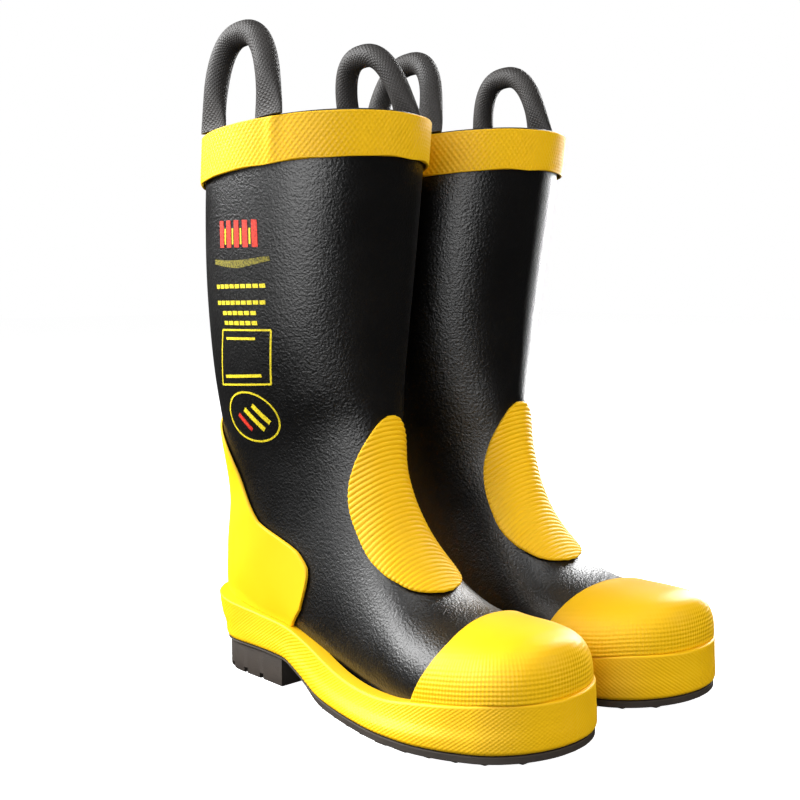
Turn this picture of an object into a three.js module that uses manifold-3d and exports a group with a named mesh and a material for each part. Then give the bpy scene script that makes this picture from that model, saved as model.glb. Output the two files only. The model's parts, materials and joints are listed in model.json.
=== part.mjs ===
import * as THREE from 'three';
import { mergeVertices } from 'three/addons/utils/BufferGeometryUtils.js';
import Module from 'manifold-3d';

// A pair of rubber firefighter's boots with steel toes, standing side by side.
// Millimetres, +Z up, toes towards -Y, the wearer's left boot at +X.
// Each boot is drawn in its own coordinates: u runs forward from the back of the heel,
// v runs outwards to the little-toe side, z runs up from the ground.

const wasm = await Module();
wasm.setup();

// Driving dimensions of the pair
const bootSpacing = 137;          // between the two heel centrelines
const pairCentreU = 145.5;        // u that lies over the pair's origin

// Wall build-up, as distances along the outer rubber surface's normal
const rubberThickness = 3;
const liningOuter = -4.4;
const liningInner = -6.1;
const toeLiningOuter = -6.5;      // the lining steps in under the steel toe
const toeLiningInner = -8;
const steelToeOuter = -4.1;
const steelToeInner = -5.7;
const patchInner = 1.35;          // bonded yellow pieces sit on the rubber
const patchOuter = 3;
const counterInner = 1.9;         // a little looser round the tight heel
const collarInner = 1.75;
const collarOuter = 3.6;
const tabInner = 0.35;
const tabOuter = 1.35;
const collarHeight = 29;
const rimPitch = 46;              // length of shaft between the last two sections
const tabReach = 26;              // how far a loop's tab runs down the shaft
const tabHalfAngle = 36;          // degrees either side of the loop
const fit = 0.35;                 // clearance between bonded neighbours
const toeStepFrom = 3.9;          // section numbers where the lining steps in for the toe
const toeStepTo = 5.2;

// Sole
const soleLength = 298.7;
const heelRadius = 41;
const toeRadius = 57.6;
const toeCentreV = -3.65;
const flangeInset = 1;
const flangeThickness = 1.4;
const coreInset = 4;
const treadInset = 1.5;
const wellHeadroom = 2.6;         // room in the band over the outsole's core, for the plate
const lugDepth = 4;
const lugPitch = 15.5;
const lugLength = 10.5;
const firstLugU = 137;
const lugCount = 10;
const lugStock = 30;              // height of the bar that a cleat is cut from
const heelBlockLength = 85;
const heelBlockInset = 3;
const heelGrooveDepth = 4;
const heelGrooveWidth = 4;
const heelGroovesU = [27, 44.5, 62];
const counterMedialShare = 0.88;  // the heel counter reaches less far forward on the inner side
const plateInset = 10;
const plateTailU = 14;
const plateNoseU = 284;
const plateThickness = 1;

// Pull loops
const loopHalfSpan = 28.5;        // centre of the strap to the loop's own centre
const loopRise = 57;              // strap centre at the crown, above the rim
const strapRadius = 7.8;
const legHalfWidth = 12.8;
const legHalfThickness = 2.2;
const loopCentreU = 80;
const loopHalfGauge = 61.5;       // rim centreline to the strap's feet
const loopLeanLateral = THREE.MathUtils.degToRad(6);   // each loop leans in over the opening
const loopLeanMedial = THREE.MathUtils.degToRad(15);
const rimCentreV = 1;
const rimBackU = 2.5;
const rimBackZ = 361;
const rimSlope = 0.08;            // the rim rises towards the shin
const loopLift = 0.6;             // the bend line's height over the rim
const loopFootGap = 2.4;          // the strap starts this far over its bend line

// Grid sizes and drawing tools
const around = 20;                // columns around a full section
const weld = 1e-4;                // vertices closer than this are one
const probe = 1e-3;               // step used to measure a surface's slope
const tipSection = 0.02;          // nearer the tip than this, the surface faces straight ahead
const beyond = 200;               // longer than any boot is wide, for cutting tools
const halfTurn = Math.PI;
const quarterTurn = Math.PI / 2;
const deg = THREE.MathUtils.degToRad;

// Sections of the outer rubber surface, from the toe tip back over the instep and up the shaft:
// front or top point (u, z), back or bottom point (u, z), half width, sideways shift.
const sections = [
  [292, 40, 292, 40, 0, -2],
  [288, 60, 288, 22, 23, -2],
  [276, 65.5, 276, 15.5, 39.5, -3],
  [256, 66, 256, 12.5, 49.5, -5],
  [228, 66.5, 228, 11.5, 54, -5.5],
  [202, 73, 202, 11.3, 52, -6],
  [180.5, 88.5, 172, 12.5, 47, -6.5],
  [165, 107.5, 131, 17.5, 42, -6],
  [156.5, 125.5, 81.5, 24.5, 39, -5],
  [151.5, 141.5, 33.5, 26, 38.5, -4],
  [148, 155.5, 0, 38, 39, -4],
  [146, 171, -4.5, 72, 40, -4.5],
  [144, 190, 1, 112, 43.5, -5],
  [142.5, 214, 2, 153, 51.5, -3],
  [143.5, 248.5, -0.5, 202, 59.5, -1.5],
  [148, 288.5, -3, 258, 63.5, -0.5],
  [153.5, 330.5, -1.5, 311.5, 65, 0.5],
  [158.5, 373.5, 2.5, 361, 65, 1],
];
const rimSection = sections.length - 1;

// ---------- small tools ----------

const bump = (x, centre, width) => Math.exp(-(((x - centre) / width) ** 2));

// A smooth curve through [x, y] keys, level beyond its ends.
function through(keys) {
  const last = keys.length - 1;
  const slope = (i) => {
    const a = keys[Math.max(i - 1, 0)];
    const b = keys[Math.min(i + 1, last)];
    return (b[1] - a[1]) / (b[0] - a[0]);
  };
  return (x) => {
    if (x <= keys[0][0]) return keys[0][1];
    if (x >= keys[last][0]) return keys[last][1];
    const i = keys.findIndex((key) => key[0] > x) - 1;
    const [x0, y0] = keys[i];
    const [x1, y1] = keys[i + 1];
    const t = (x - x0) / (x1 - x0);
    const run = x1 - x0;
    const h00 = (1 + 2 * t) * (1 - t) ** 2;
    const h10 = t * (1 - t) ** 2;
    const h01 = t * t * (3 - 2 * t);
    const h11 = t * t * (t - 1);
    return h00 * y0 + h10 * run * slope(i) + h01 * y1 + h11 * run * slope(i + 1);
  };
}

const steps = (from, to, count) =>
  Array.from({ length: count + 1 }, (_, i) => from + ((to - from) * i) / count);

// The boot's own coordinates to the drawing's.
const place = (u, v, z) => new THREE.Vector3(-v, -u, z);

// A closed body from vertices and quads or triangles, wound so that it faces outwards.
function closedBody(points, faces) {
  const geometry = new THREE.BufferGeometry();
  geometry.setAttribute('position', new THREE.Float32BufferAttribute(points.flatMap((p) => [p.x, p.y, p.z]), 3));
  geometry.setIndex(faces.flatMap((f) => (f.length === 4 ? [f[0], f[1], f[2], f[0], f[2], f[3]] : f)));
  const merged = mergeVertices(geometry, weld);
  return tidyFaces(merged.getAttribute('position').array, Array.from(merged.getIndex().array));
}

function tidyFaces(xyz, index) {
  const kept = [];
  let volume = 0;
  const a = new THREE.Vector3();
  const b = new THREE.Vector3();
  const c = new THREE.Vector3();
  for (let i = 0; i < index.length; i += 3) {
    const [p, q, r] = index.slice(i, i + 3);
    if (p === q || q === r || r === p) continue;
    kept.push(p, q, r);
    volume += a.fromArray(xyz, 3 * p).dot(b.fromArray(xyz, 3 * q).cross(c.fromArray(xyz, 3 * r)));
  }
  if (volume < 0) kept.reverse();
  const geometry = new THREE.BufferGeometry();
  geometry.setAttribute('position', new THREE.Float32BufferAttribute(xyz, 3));
  geometry.setIndex(kept);
  return geometry;
}

// A body whose rings of equal length follow each other; its ends close with fans, or on each other.
function ringBody(rings, joined = false) {
  const n = rings[0].length;
  const points = rings.flat();
  const faces = [];
  const spans = joined ? rings.length : rings.length - 1;
  for (let i = 0; i < spans; i++) {
    const next = (i + 1) % rings.length;
    for (let j = 0; j < n; j++) {
      const k = (j + 1) % n;
      faces.push([i * n + j, i * n + k, next * n + k, next * n + j]);
    }
  }
  if (!joined) {
    [0, rings.length - 1].forEach((end) => {
      const centre = points.length;
      points.push(rings[end].reduce((sum, p) => sum.add(p), new THREE.Vector3()).divideScalar(n));
      for (let j = 0; j < n; j++) {
        const edge = [end * n + j, end * n + ((j + 1) % n)];
        faces.push(end === 0 ? [edge[1], edge[0], centre] : [edge[0], edge[1], centre]);
      }
    });
  }
  return closedBody(points, faces);
}

// A sheet with thickness: two grids of the same size and the walls between their edges.
function sheetBody(outer, inner) {
  const rows = outer.length;
  const columns = outer[0].length;
  const at = (side, i, j) => side * rows * columns + i * columns + j;
  const faces = [];
  for (let i = 0; i < rows - 1; i++) {
    for (let j = 0; j < columns - 1; j++) {
      faces.push([at(0, i, j), at(0, i, j + 1), at(0, i + 1, j + 1), at(0, i + 1, j)]);
      faces.push([at(1, i, j), at(1, i + 1, j), at(1, i + 1, j + 1), at(1, i, j + 1)]);
    }
  }
  for (let j = 0; j < columns - 1; j++) {
    faces.push([at(0, 0, j), at(1, 0, j), at(1, 0, j + 1), at(0, 0, j + 1)]);
    faces.push([at(0, rows - 1, j), at(0, rows - 1, j + 1), at(1, rows - 1, j + 1), at(1, rows - 1, j)]);
  }
  for (let i = 0; i < rows - 1; i++) {
    faces.push([at(0, i, 0), at(0, i + 1, 0), at(1, i + 1, 0), at(1, i, 0)]);
    faces.push([at(0, i, columns - 1), at(1, i, columns - 1), at(1, i + 1, columns - 1), at(0, i + 1, columns - 1)]);
  }
  return closedBody([...outer.flat(), ...inner.flat()], faces);
}

function toManifold(geometry) {
  const bare = geometry.clone();
  bare.deleteAttribute('normal');
  bare.deleteAttribute('uv');
  const merged = mergeVertices(bare, weld);
  return new wasm.Manifold(new wasm.Mesh({
    numProp: 3,
    vertProperties: new Float32Array(merged.getAttribute('position').array),
    triVerts: new Uint32Array(merged.getIndex().array),
  }));
}

function fromManifold(body) {
  const mesh = body.getMesh();
  return tidyFaces(Array.from(mesh.vertProperties), Array.from(mesh.triVerts));
}

// ---------- the rubber surface ----------

// One section's values at a fractional section number, by a cubic through its neighbours.
function sectionAt(s) {
  const i = Math.min(Math.max(Math.floor(s), 0), rimSection - 1);
  const t = s - i;
  const [tuTip, tzTip, buTip, bzTip, wTip, vTip] = sections[1];
  const beforeTip = [tuTip, bzTip, buTip, tzTip, -wTip, vTip];
  const end = sections[rimSection];
  const beyondRim = end.map((value, k) => 2 * value - sections[rimSection - 1][k]);
  const p0 = i === 0 ? beforeTip : sections[i - 1];
  const p3 = i + 2 > rimSection ? beyondRim : sections[i + 2];
  return end.map((_, k) => {
    const [a, b, c, d] = [p0[k], sections[i][k], sections[i + 1][k], p3[k]];
    return 0.5 * (2 * b + (c - a) * t + (2 * a - 5 * b + 4 * c - d) * t * t + (3 * b - a - 3 * c + d) * t ** 3);
  });
}

// A point of the rubber surface: angle 0 on the instep or shin, +90 degrees outwards, 180 under or behind.
function rubberPoint(s, angle) {
  const [topU, topZ, backU, backZ, width, shift] = sectionAt(s);
  const widest = 0.5 - 0.24 * bump(s, 6.3, 4);
  const c = Math.cos(angle);
  const sn = Math.sin(angle);
  const power = c > 0 ? 2.1 + 0.4 * bump(s, 3, 1.8) : 2.1 + 1.1 * bump(s, 5.3, 3);
  const r = (Math.abs(c) ** power + Math.abs(sn) ** power) ** (-1 / power);
  const along = widest + (c > 0 ? 1 - widest : widest) * r * c;
  return place(backU + (topU - backU) * along, shift + width * r * sn, backZ + (topZ - backZ) * along);
}

// The same point moved along the surface's outward normal.
function offsetPoint(s, angle, distance) {
  const safe = Math.max(s, tipSection);
  const alongS = rubberPoint(Math.min(safe + probe, rimSection), angle).sub(rubberPoint(safe - probe, angle));
  const alongAngle = rubberPoint(safe, angle + probe).sub(rubberPoint(safe, angle - probe));
  const normal = alongS.cross(alongAngle).normalize();
  if (s < tipSection) normal.set(0, -1, 0);
  return rubberPoint(s, angle).addScaledVector(normal, distance);
}

const turn = steps(0, 2 * halfTurn, around).slice(0, around);
const offsetRing = (s, distance) => turn.map((angle) => offsetPoint(s, angle, distance));

// ---------- the sole's outlines ----------

const outerSide = through([[41, 39.7], [80, 40.5], [110, 43.5], [140, 50], [165, 56], [190, 61], [210, 62.5],
  [230, 60.5], [250, 55]]);
const innerSide = through([[41, 46.5], [80, 47.5], [115, 48.5], [140, 51], [165, 56], [195, 61.5], [215, 63.5],
  [235, 62.5], [250, 60.5]]);
const flangeBottom = through([[0, 19.7], [88, 19.7], [105, 14.3], [116, 10], [130, 5.7], [150, 4], [200, 4],
  [250, 4.3], [275, 5.6], [299, 7.5]]);
const coreTop = through([[0, 23.6], [33, 23.6], [60, 22.7], [81.5, 21.9], [131, 15.3], [172, 10.4], [202, 9.2], [228, 9.4],
  [256, 10.4], [276, 13], [299, 14.5]]);
const bandTop = through([[0, 53], [30, 48.5], [60, 45.5], [90, 42.5], [117, 35], [138, 28.5], [156, 24.8],
  [176, 23.5], [202, 25], [225, 28.5], [256, 33], [275, 36], [299, 37]]);
const outerTopInset = through([[0, 1], [80, 1.8], [130, 4.5], [180, 8], [225, 7.5], [255, 3.5], [290, 1]]);
const innerTopInset = through([[0, 1], [80, 1.2], [150, 1.6], [220, 2], [260, 1.8], [290, 1]]);

// The sole's outline, each side from the heel's back to the toe's tip, moved in by an inset per side.
function soleOutline(outerInset, innerInset = outerInset, tail = 0, nose = soleLength) {
  const side = (sign, profile, inset) => {
    const heelHalf = profile(heelRadius);
    const raw = [];
    steps(0, quarterTurn, 4).forEach((a) => raw.push([heelRadius * (1 - Math.cos(a)), sign * heelHalf * Math.sin(a)]));
    [62, 86, 108, 128, 148, 172, 198, 224, 243].forEach((u) => raw.push([u, sign * profile(u)]));
    steps(deg(72), 0, 4).forEach((a) => raw.push([
      soleLength - toeRadius + toeRadius * Math.cos(a),
      toeCentreV + sign * toeRadius * Math.sin(a),
    ]));
    raw[0][1] = 0;
    return raw.map(([u, v], i) => {
      const before = raw[Math.max(i - 1, 0)];
      const after = raw[Math.min(i + 1, raw.length - 1)];
      let du = after[0] - before[0];
      let dv = after[1] - before[1];
      if (i === 0) [du, dv] = [0, sign];
      if (i === raw.length - 1) [du, dv] = [0, -sign];
      const length = Math.hypot(du, dv);
      const move = inset(u);
      return [u + (sign * dv * move) / length, v - (sign * du * move) / length];
    });
  };
  const lateral = side(1, outerSide, outerInset);
  const medial = side(-1, innerSide, innerInset);
  const clamp = (list) => list.map(([u, v]) => [Math.min(Math.max(u, tail), nose), v]);
  return { lateral: clamp(lateral), medial: clamp(medial) };
}

// A body stacked from outlines, each with its own height; top and bottom close straight across.
function stackBody(levels) {
  const rings = levels.map(({ outline, height }) => {
    const { lateral, medial } = outline;
    const back = medial.slice(1, -1).reverse();
    return [...lateral, ...back].map(([u, v]) => place(u, v, height(u)));
  });
  const n = rings[0].length;
  const faces = [];
  for (let i = 0; i < rings.length - 1; i++) {
    for (let j = 0; j < n; j++) {
      const k = (j + 1) % n;
      faces.push([i * n + j, i * n + k, (i + 1) * n + k, (i + 1) * n + j]);
    }
  }
  [0, rings.length - 1].forEach((end) => {
    for (let j = 0; j < n / 2; j++) {
      const left = [end * n + j, end * n + j + 1];
      const right = [end * n + ((n - j) % n), end * n + n - j - 1];
      const strip = [left[0], left[1], right[1], right[0]];
      faces.push(end === 0 ? strip.reverse() : strip);
    }
  });
  return closedBody(rings.flat(), faces);
}

const inset = (distance) => () => distance;

// Everything below the band's top edge, to trim the pieces that stand on it.
function belowBand(clearance) {
  const margin = 20;
  const front = soleLength + margin;
  const outline = new THREE.Shape();
  outline.moveTo(-margin, -margin);
  outline.lineTo(front, -margin);
  steps(front, -margin, 44).forEach((u) => outline.lineTo(u, bandTop(u) + clearance));
  const slab = new THREE.ExtrudeGeometry(outline, { depth: beyond, bevelEnabled: false, steps: 1 });
  // shape x to -Y, shape y to +Z, depth across X
  slab.applyMatrix4(new THREE.Matrix4().makeBasis(
    new THREE.Vector3(0, -1, 0), new THREE.Vector3(0, 0, 1), new THREE.Vector3(-1, 0, 0)));
  slab.translate(beyond / 2, 0, 0);
  return toManifold(slab);
}

// ---------- sub-parts of one boot ----------

const wallRows = [0.35, 1, 1.8, 2.8, 3.9, 4.8, 5.5, 6.2, 6.9, 7.7, 8.5, 9.2, 9.8, 10.5, 11.3, 12.2, 13, 13.8, 15.2, 17];

// The moulded rubber boot: foot and shaft in one wall, open at the rim.
function upper() {
  const tip = (distance) => turn.map(() => offsetPoint(0, 0, distance));
  const outer = wallRows.map((s) => offsetRing(s, 0));
  const inner = wallRows.map((s) => offsetRing(s, -rubberThickness)).reverse();
  return ringBody([tip(0), ...outer, ...inner, tip(-rubberThickness)]);
}

// The knitted sock inside, from toe to rim.
function lining() {
  const blend = (toe, shaft) => (s) => toe + (shaft - toe) * THREE.MathUtils.smoothstep(s, toeStepFrom, toeStepTo);
  const outside = blend(toeLiningOuter, liningOuter);
  const inside = blend(toeLiningInner, liningInner);
  const tip = (distance) => turn.map(() => offsetPoint(0, 0, distance));
  const outer = wallRows.map((s) => offsetRing(s, outside(s)));
  const inner = wallRows.map((s) => offsetRing(s, inside(s))).reverse();
  return ringBody([tip(toeLiningOuter), ...outer, ...inner, tip(toeLiningInner)]);
}

// The yellow band round the rim.
function collarBand() {
  const lower = rimSection - collarHeight / rimPitch;
  const rows = steps(lower, rimSection, 3);
  const outer = rows.map((s) => offsetRing(s, collarOuter));
  const inner = rows.map((s) => offsetRing(s, collarInner)).reverse();
  return ringBody([...outer, ...inner], true);
}

const sheetOnRubber = (rows, outerDistance, innerDistance) => sheetBody(
  rows.map((row) => row.map(([s, angle]) => offsetPoint(s, angle, outerDistance(s, angle)))),
  rows.map((row) => row.map(([s, angle]) => offsetPoint(s, angle, innerDistance))));

// Rear edge of the toe cap as a section number, by angle in degrees.
const capEdge = through([[-180, 4.9], [-90, 4.75], [-51, 4.4], [-40, 4.16], [-25, 4.09], [10, 4.08], [25, 3.88],
  [41, 3.8], [60, 3.96], [75, 4.13], [96, 4.35], [180, 4.6]]);

// The yellow rubber cap over the toes, standing on the band.
function toeCap(trim) {
  const edge = (angle) => capEdge(THREE.MathUtils.radToDeg(angle > halfTurn ? angle - 2 * halfTurn : angle));
  const rows = [0, 0.35, 1, 1.8, 2.8, 3.5, Infinity];
  const ring = (s, distance) => turn.map((angle) => offsetPoint(Math.min(s, edge(angle)), angle, distance));
  const outer = rows.map((s) => ring(s, patchOuter));
  const inner = rows.map((s) => ring(s, patchInner)).reverse();
  const cup = ringBody([...outer, ...inner]);
  return fromManifold(toManifold(cup).subtract(trim));
}

// The pressed steel cap between rubber and lining, open underneath, with turned-in edges.
function steelToeCap() {
  const reach = deg(126);
  const rows = [0, 0.35, 1, 1.8, 2.8, 3.6].map((s) => steps(-reach, reach, 14).map((angle) => [s, angle]));
  return sheetOnRubber(rows, () => steelToeOuter, steelToeInner);
}

// Half angle of the shin guard, in degrees, by section number.
const guardHalfAngle = through([[5.3, 5], [5.45, 16], [5.75, 26], [6.2, 33], [6.6, 38], [7.3, 42], [8.4, 41],
  [9.4, 38], [10.15, 33.5], [10.8, 26], [11.4, 12.5], [11.7, 3]]);

// The ribbed yellow guard over the instep and shin.
function shinGuard() {
  const rows = [5.3, 5.5, 5.8, 6.2, 6.9, 7.7, 8.5, 9.2, 9.8, 10.5, 11.3, 11.7].map((s) => {
    const half = deg(guardHalfAngle(s));
    return steps(-half, half, 6).map((angle) => [s, angle]);
  });
  return sheetOnRubber(rows, () => patchOuter, patchInner);
}

// Half angle of the heel counter from the back seam, in degrees, by section number.
const counterHalfAngle = through([[8.05, 90], [8.2, 99], [8.4, 106], [8.65, 109], [9.25, 109], [10.1, 102],
  [11.1, 84], [11.8, 71.5], [12.7, 57], [13.05, 48], [13.4, 30], [13.6, 8]]);

// The yellow stiffener wrapped round the heel, standing on the band.
function heelCounter(trim) {
  const rows = [8.05, 8.5, 9.2, 9.8, 10.5, 11.3, 12.2, 12.7, 13, 13.2, 13.35, 13.5, 13.6].map((s) => {
    const half = deg(counterHalfAngle(s));
    return steps(halfTurn - half, halfTurn + half * counterMedialShare, 10).map((angle) => [s, angle]);
  });
  const wrap = sheetOnRubber(rows, () => patchOuter, counterInner);
  return fromManifold(toManifold(wrap).subtract(trim));
}

// The tall yellow foxing that joins upper and sole, with a flare towards the ground.
function foxingBand() {
  const bottom = (u) => flangeBottom(u) + flangeThickness + fit;
  const level = (lateral, medial, share, lift = 0) => ({
    outline: soleOutline(
      (u) => lateral * outerTopInset(u) + (medial ?? 0),
      (u) => lateral * innerTopInset(u) + (medial ?? 0)),
    height: (u) => bottom(u) + share * (bandTop(u) - bottom(u)) + lift,
  });
  const raw = stackBody([
    level(0, 1.2, 0),
    level(0, 0, 0, 1.6),
    level(0.12, 0, 0.3),
    level(0.6, 0, 0.55),
    level(1, 0, 1, -1.4),
    level(1, 1.2, 1),
  ]);
  const tip = turn.map(() => offsetPoint(0, 0, fit));
  const foot = ringBody([tip, ...wallRows.slice(0, -2).map((s) => offsetRing(s, fit))]);
  const well = stackBody([
    { outline: soleOutline(inset(coreInset - fit)), height: () => -beyond / 2 },
    { outline: soleOutline(inset(coreInset - fit)), height: (u) => coreTop(u) + wellHeadroom },
  ]);
  return fromManifold(toManifold(raw).subtract(toManifold(foot)).subtract(toManifold(well)));
}

// The black outsole: a rim under the band, a core inside it and the cleats of the tread.
function outsole() {
  const rim = stackBody([
    { outline: soleOutline(inset(flangeInset)), height: flangeBottom },
    { outline: soleOutline(inset(flangeInset)), height: (u) => flangeBottom(u) + flangeThickness },
  ]);
  const core = stackBody([
    { outline: soleOutline(inset(coreInset)), height: (u) => flangeBottom(u) + flangeThickness / 2 },
    { outline: soleOutline(inset(coreInset)), height: coreTop },
  ]);
  const treadPlan = toManifold(stackBody([
    { outline: soleOutline(inset(treadInset)), height: () => 0 },
    { outline: soleOutline(inset(treadInset)), height: (u) => flangeBottom(u) + flangeThickness / 2 },
  ]));
  let cleats = null;
  for (let i = 0; i < lugCount; i++) {
    const centre = firstLugU + i * lugPitch + lugLength / 2;
    const low = flangeBottom(centre) - lugDepth;
    const box = new THREE.BoxGeometry(beyond, lugLength, lugStock);
    box.rotateX(Math.atan2(flangeBottom(centre + 4) - flangeBottom(centre - 4), -8) + halfTurn);
    box.translate(0, -centre, low + lugStock / 2);
    const bar = toManifold(box).intersect(treadPlan);
    cleats = cleats ? cleats.add(bar) : bar;
  }
  return fromManifold(toManifold(rim).add(toManifold(core)).add(cleats));
}

// The block heel with grooves across its tread.
function heelBlock() {
  const plan = soleOutline(inset(heelBlockInset));
  const top = flangeBottom(0) - fit;
  const slab = toManifold(stackBody([{ outline: plan, height: () => 0 }, { outline: plan, height: () => top }]));
  const length = new THREE.BoxGeometry(beyond, 2 * heelBlockLength, beyond);
  let block = slab.intersect(toManifold(length));
  heelGroovesU.forEach((u) => {
    const groove = new THREE.BoxGeometry(beyond, heelGrooveWidth, 2 * heelGrooveDepth);
    groove.translate(0, -u, 0);
    block = block.subtract(toManifold(groove));
  });
  return fromManifold(block);
}

// The steel plate that stops nails, between outsole and boot.
function steelMidsolePlate() {
  const outline = soleOutline(inset(plateInset), inset(plateInset), plateTailU, plateNoseU);
  return stackBody([
    { outline, height: (u) => coreTop(u) + fit },
    { outline, height: (u) => coreTop(u) + fit + plateThickness },
  ]);
}

// The loose cupped insole that lies in the sock's foot.
function insole() {
  const reach = through([[0, deg(62)], [5, deg(58)], [7, deg(48)], [8.5, deg(38)], [9.3, deg(35)]]);
  const bottomGap = 1.8;
  const distance = (s) => (s < 5 ? toeLiningInner : liningInner) - bottomGap;
  const smooth = (s) => distance(3) + (distance(6) - distance(3)) * THREE.MathUtils.smoothstep(s, toeStepFrom, toeStepTo);
  const rings = [1.1, 1.6, 2.2, 3, 4, 4.8, 5.6, 6.4, 7.2, 8, 8.7, 9.3].map((s) => {
    const arc = steps(halfTurn - reach(s), halfTurn + reach(s), 8)
      .map((angle) => offsetPoint(s, angle, smooth(s)));
    const chord = steps(1, 0, 6).slice(1, -1).map((t) => arc[0].clone().lerp(arc[8], t));
    return [...arc, ...chord];
  });
  return ringBody(rings);
}

// A pull loop: a strap rolled to a round grip, flat where it meets the shaft.
function pullLoop(side) {
  const forward = new THREE.Vector2(1, rimSlope).normalize();
  const foot = { u: loopCentreU, z: rimBackZ + (loopCentreU - rimBackU) * rimSlope + loopLift };
  const lean = side > 0 ? loopLeanLateral : loopLeanMedial;
  const point = (across, rise) => {
    const u = foot.u + across * forward.x - rise * Math.cos(lean) * forward.y;
    const z = foot.z + across * forward.y + rise * Math.cos(lean) * forward.x;
    const v = rimCentreV + side * (loopHalfGauge - rise * Math.sin(lean));
    return place(u, v, z);
  };
  const power = 2 / 2.5;
  const path = (a) => {
    const across = -loopHalfSpan * Math.sign(Math.cos(a)) * Math.abs(Math.cos(a)) ** power;
    return point(across, loopFootGap + (loopRise - loopFootGap) * Math.abs(Math.sin(a)) ** power);
  };
  const outwards = point(0, 1).sub(point(0, 0)).cross(point(1, 0).sub(point(0, 0))).normalize();
  const rings = [0, 0.05, 0.12, 0.21, 0.32, 0.41, 0.5, 0.59, 0.68, 0.79, 0.88, 0.95, 1]
    .map((t) => {
      const a = t * halfTurn;
      const e = 1e-3;
      const level = t === 0 || t === 1;
      const tangent = level
        ? point(0, 1).sub(point(0, 0)).multiplyScalar(t === 0 ? 1 : -1)
        : path(a + e).sub(path(a - e)).normalize();
      const across = new THREE.Vector3().crossVectors(tangent, outwards).normalize();
      const rolled = THREE.MathUtils.smoothstep(Math.min(t, 1 - t), 0, 0.2);
      const halfWidth = legHalfWidth + (strapRadius - legHalfWidth) * rolled;
      const halfThickness = legHalfThickness + (strapRadius - legHalfThickness) * rolled;
      return steps(0, 2 * halfTurn, 8).slice(0, 8).map((b) => path(a)
        .addScaledVector(across, halfWidth * Math.cos(b))
        .addScaledVector(outwards, halfThickness * Math.sin(b)));
    });
  return ringBody(rings);
}

// The loop's root: a thin tab bonded between shaft and collar.
function loopTab(side) {
  const centre = side * quarterTurn;
  const rows = steps(rimSection - tabReach / rimPitch, rimSection, 2)
    .map((s) => steps(centre - deg(tabHalfAngle), centre + deg(tabHalfAngle), 4).map((angle) => [s, angle]));
  return sheetOnRubber(rows, () => tabOuter, tabInner);
}

// ---------- finishes ----------

const finish = (color, roughness, metalness = 0) => new THREE.MeshStandardMaterial({ color, roughness, metalness });
const blackRubber = () => finish(0x1c1b1b, 0.5);
const yellowRubber = () => finish(0xf3c418, 0.55);
const soleRubber = () => finish(0x222222, 0.75);
const strapRubber = () => finish(0x2b2a2a, 0.65);
const knit = () => finish(0x2a2a2c, 0.95);
const pressedSteel = () => finish(0xa9adb0, 0.35, 0.9);
const felt = () => finish(0x6d6a63, 0.95);

function bootPieces() {
  const trim = belowBand(fit);
  return [
    ['upper', upper(), blackRubber()],
    ['lining', lining(), knit()],
    ['collar_band', collarBand(), yellowRubber()],
    ['toe_cap', toeCap(trim), yellowRubber()],
    ['steel_toe_cap', steelToeCap(), pressedSteel()],
    ['shin_guard', shinGuard(), yellowRubber()],
    ['heel_counter', heelCounter(trim), yellowRubber()],
    ['foxing_band', foxingBand(), yellowRubber()],
    ['outsole', outsole(), soleRubber()],
    ['heel_block', heelBlock(), soleRubber()],
    ['steel_midsole_plate', steelMidsolePlate(), pressedSteel()],
    ['insole', insole(), felt()],
    ['lateral_pull_loop', pullLoop(1), strapRubber()],
    ['medial_pull_loop', pullLoop(-1), strapRubber()],
    ['lateral_loop_tab', loopTab(1), strapRubber()],
    ['medial_loop_tab', loopTab(-1), strapRubber()],
  ];
}

function boot(side, mirror) {
  const group = new THREE.Group();
  bootPieces().forEach(([name, geometry, material]) => {
    const mesh = new THREE.Mesh(geometry, material);
    mesh.name = `${side}_${name}`;
    group.add(mesh);
  });
  group.position.set((-mirror * bootSpacing) / 2, pairCentreU, 0);
  group.scale.x = mirror;
  return group;
}

const pair = new THREE.Group();
pair.add(boot('right', 1), boot('left', -1));

export default pair;
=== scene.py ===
import json
import math

import bmesh
import bpy
import numpy as np
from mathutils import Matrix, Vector


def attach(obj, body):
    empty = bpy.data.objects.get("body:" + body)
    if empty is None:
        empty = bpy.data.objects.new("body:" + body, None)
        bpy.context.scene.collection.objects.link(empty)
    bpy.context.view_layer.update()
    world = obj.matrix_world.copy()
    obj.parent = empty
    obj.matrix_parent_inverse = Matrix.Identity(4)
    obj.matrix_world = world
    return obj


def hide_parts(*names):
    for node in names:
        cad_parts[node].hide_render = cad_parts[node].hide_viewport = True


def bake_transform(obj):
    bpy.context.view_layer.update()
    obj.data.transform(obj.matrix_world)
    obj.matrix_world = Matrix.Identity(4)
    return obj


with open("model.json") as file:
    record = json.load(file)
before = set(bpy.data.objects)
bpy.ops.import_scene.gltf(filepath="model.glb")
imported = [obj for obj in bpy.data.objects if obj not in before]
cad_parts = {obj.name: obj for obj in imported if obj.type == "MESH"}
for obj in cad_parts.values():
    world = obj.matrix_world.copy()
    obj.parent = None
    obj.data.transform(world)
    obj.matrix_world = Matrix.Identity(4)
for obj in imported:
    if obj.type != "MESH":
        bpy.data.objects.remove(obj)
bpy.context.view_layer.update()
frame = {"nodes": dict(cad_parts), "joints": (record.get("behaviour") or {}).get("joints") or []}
joints = {j["name"]: j for j in frame["joints"]}

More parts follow.
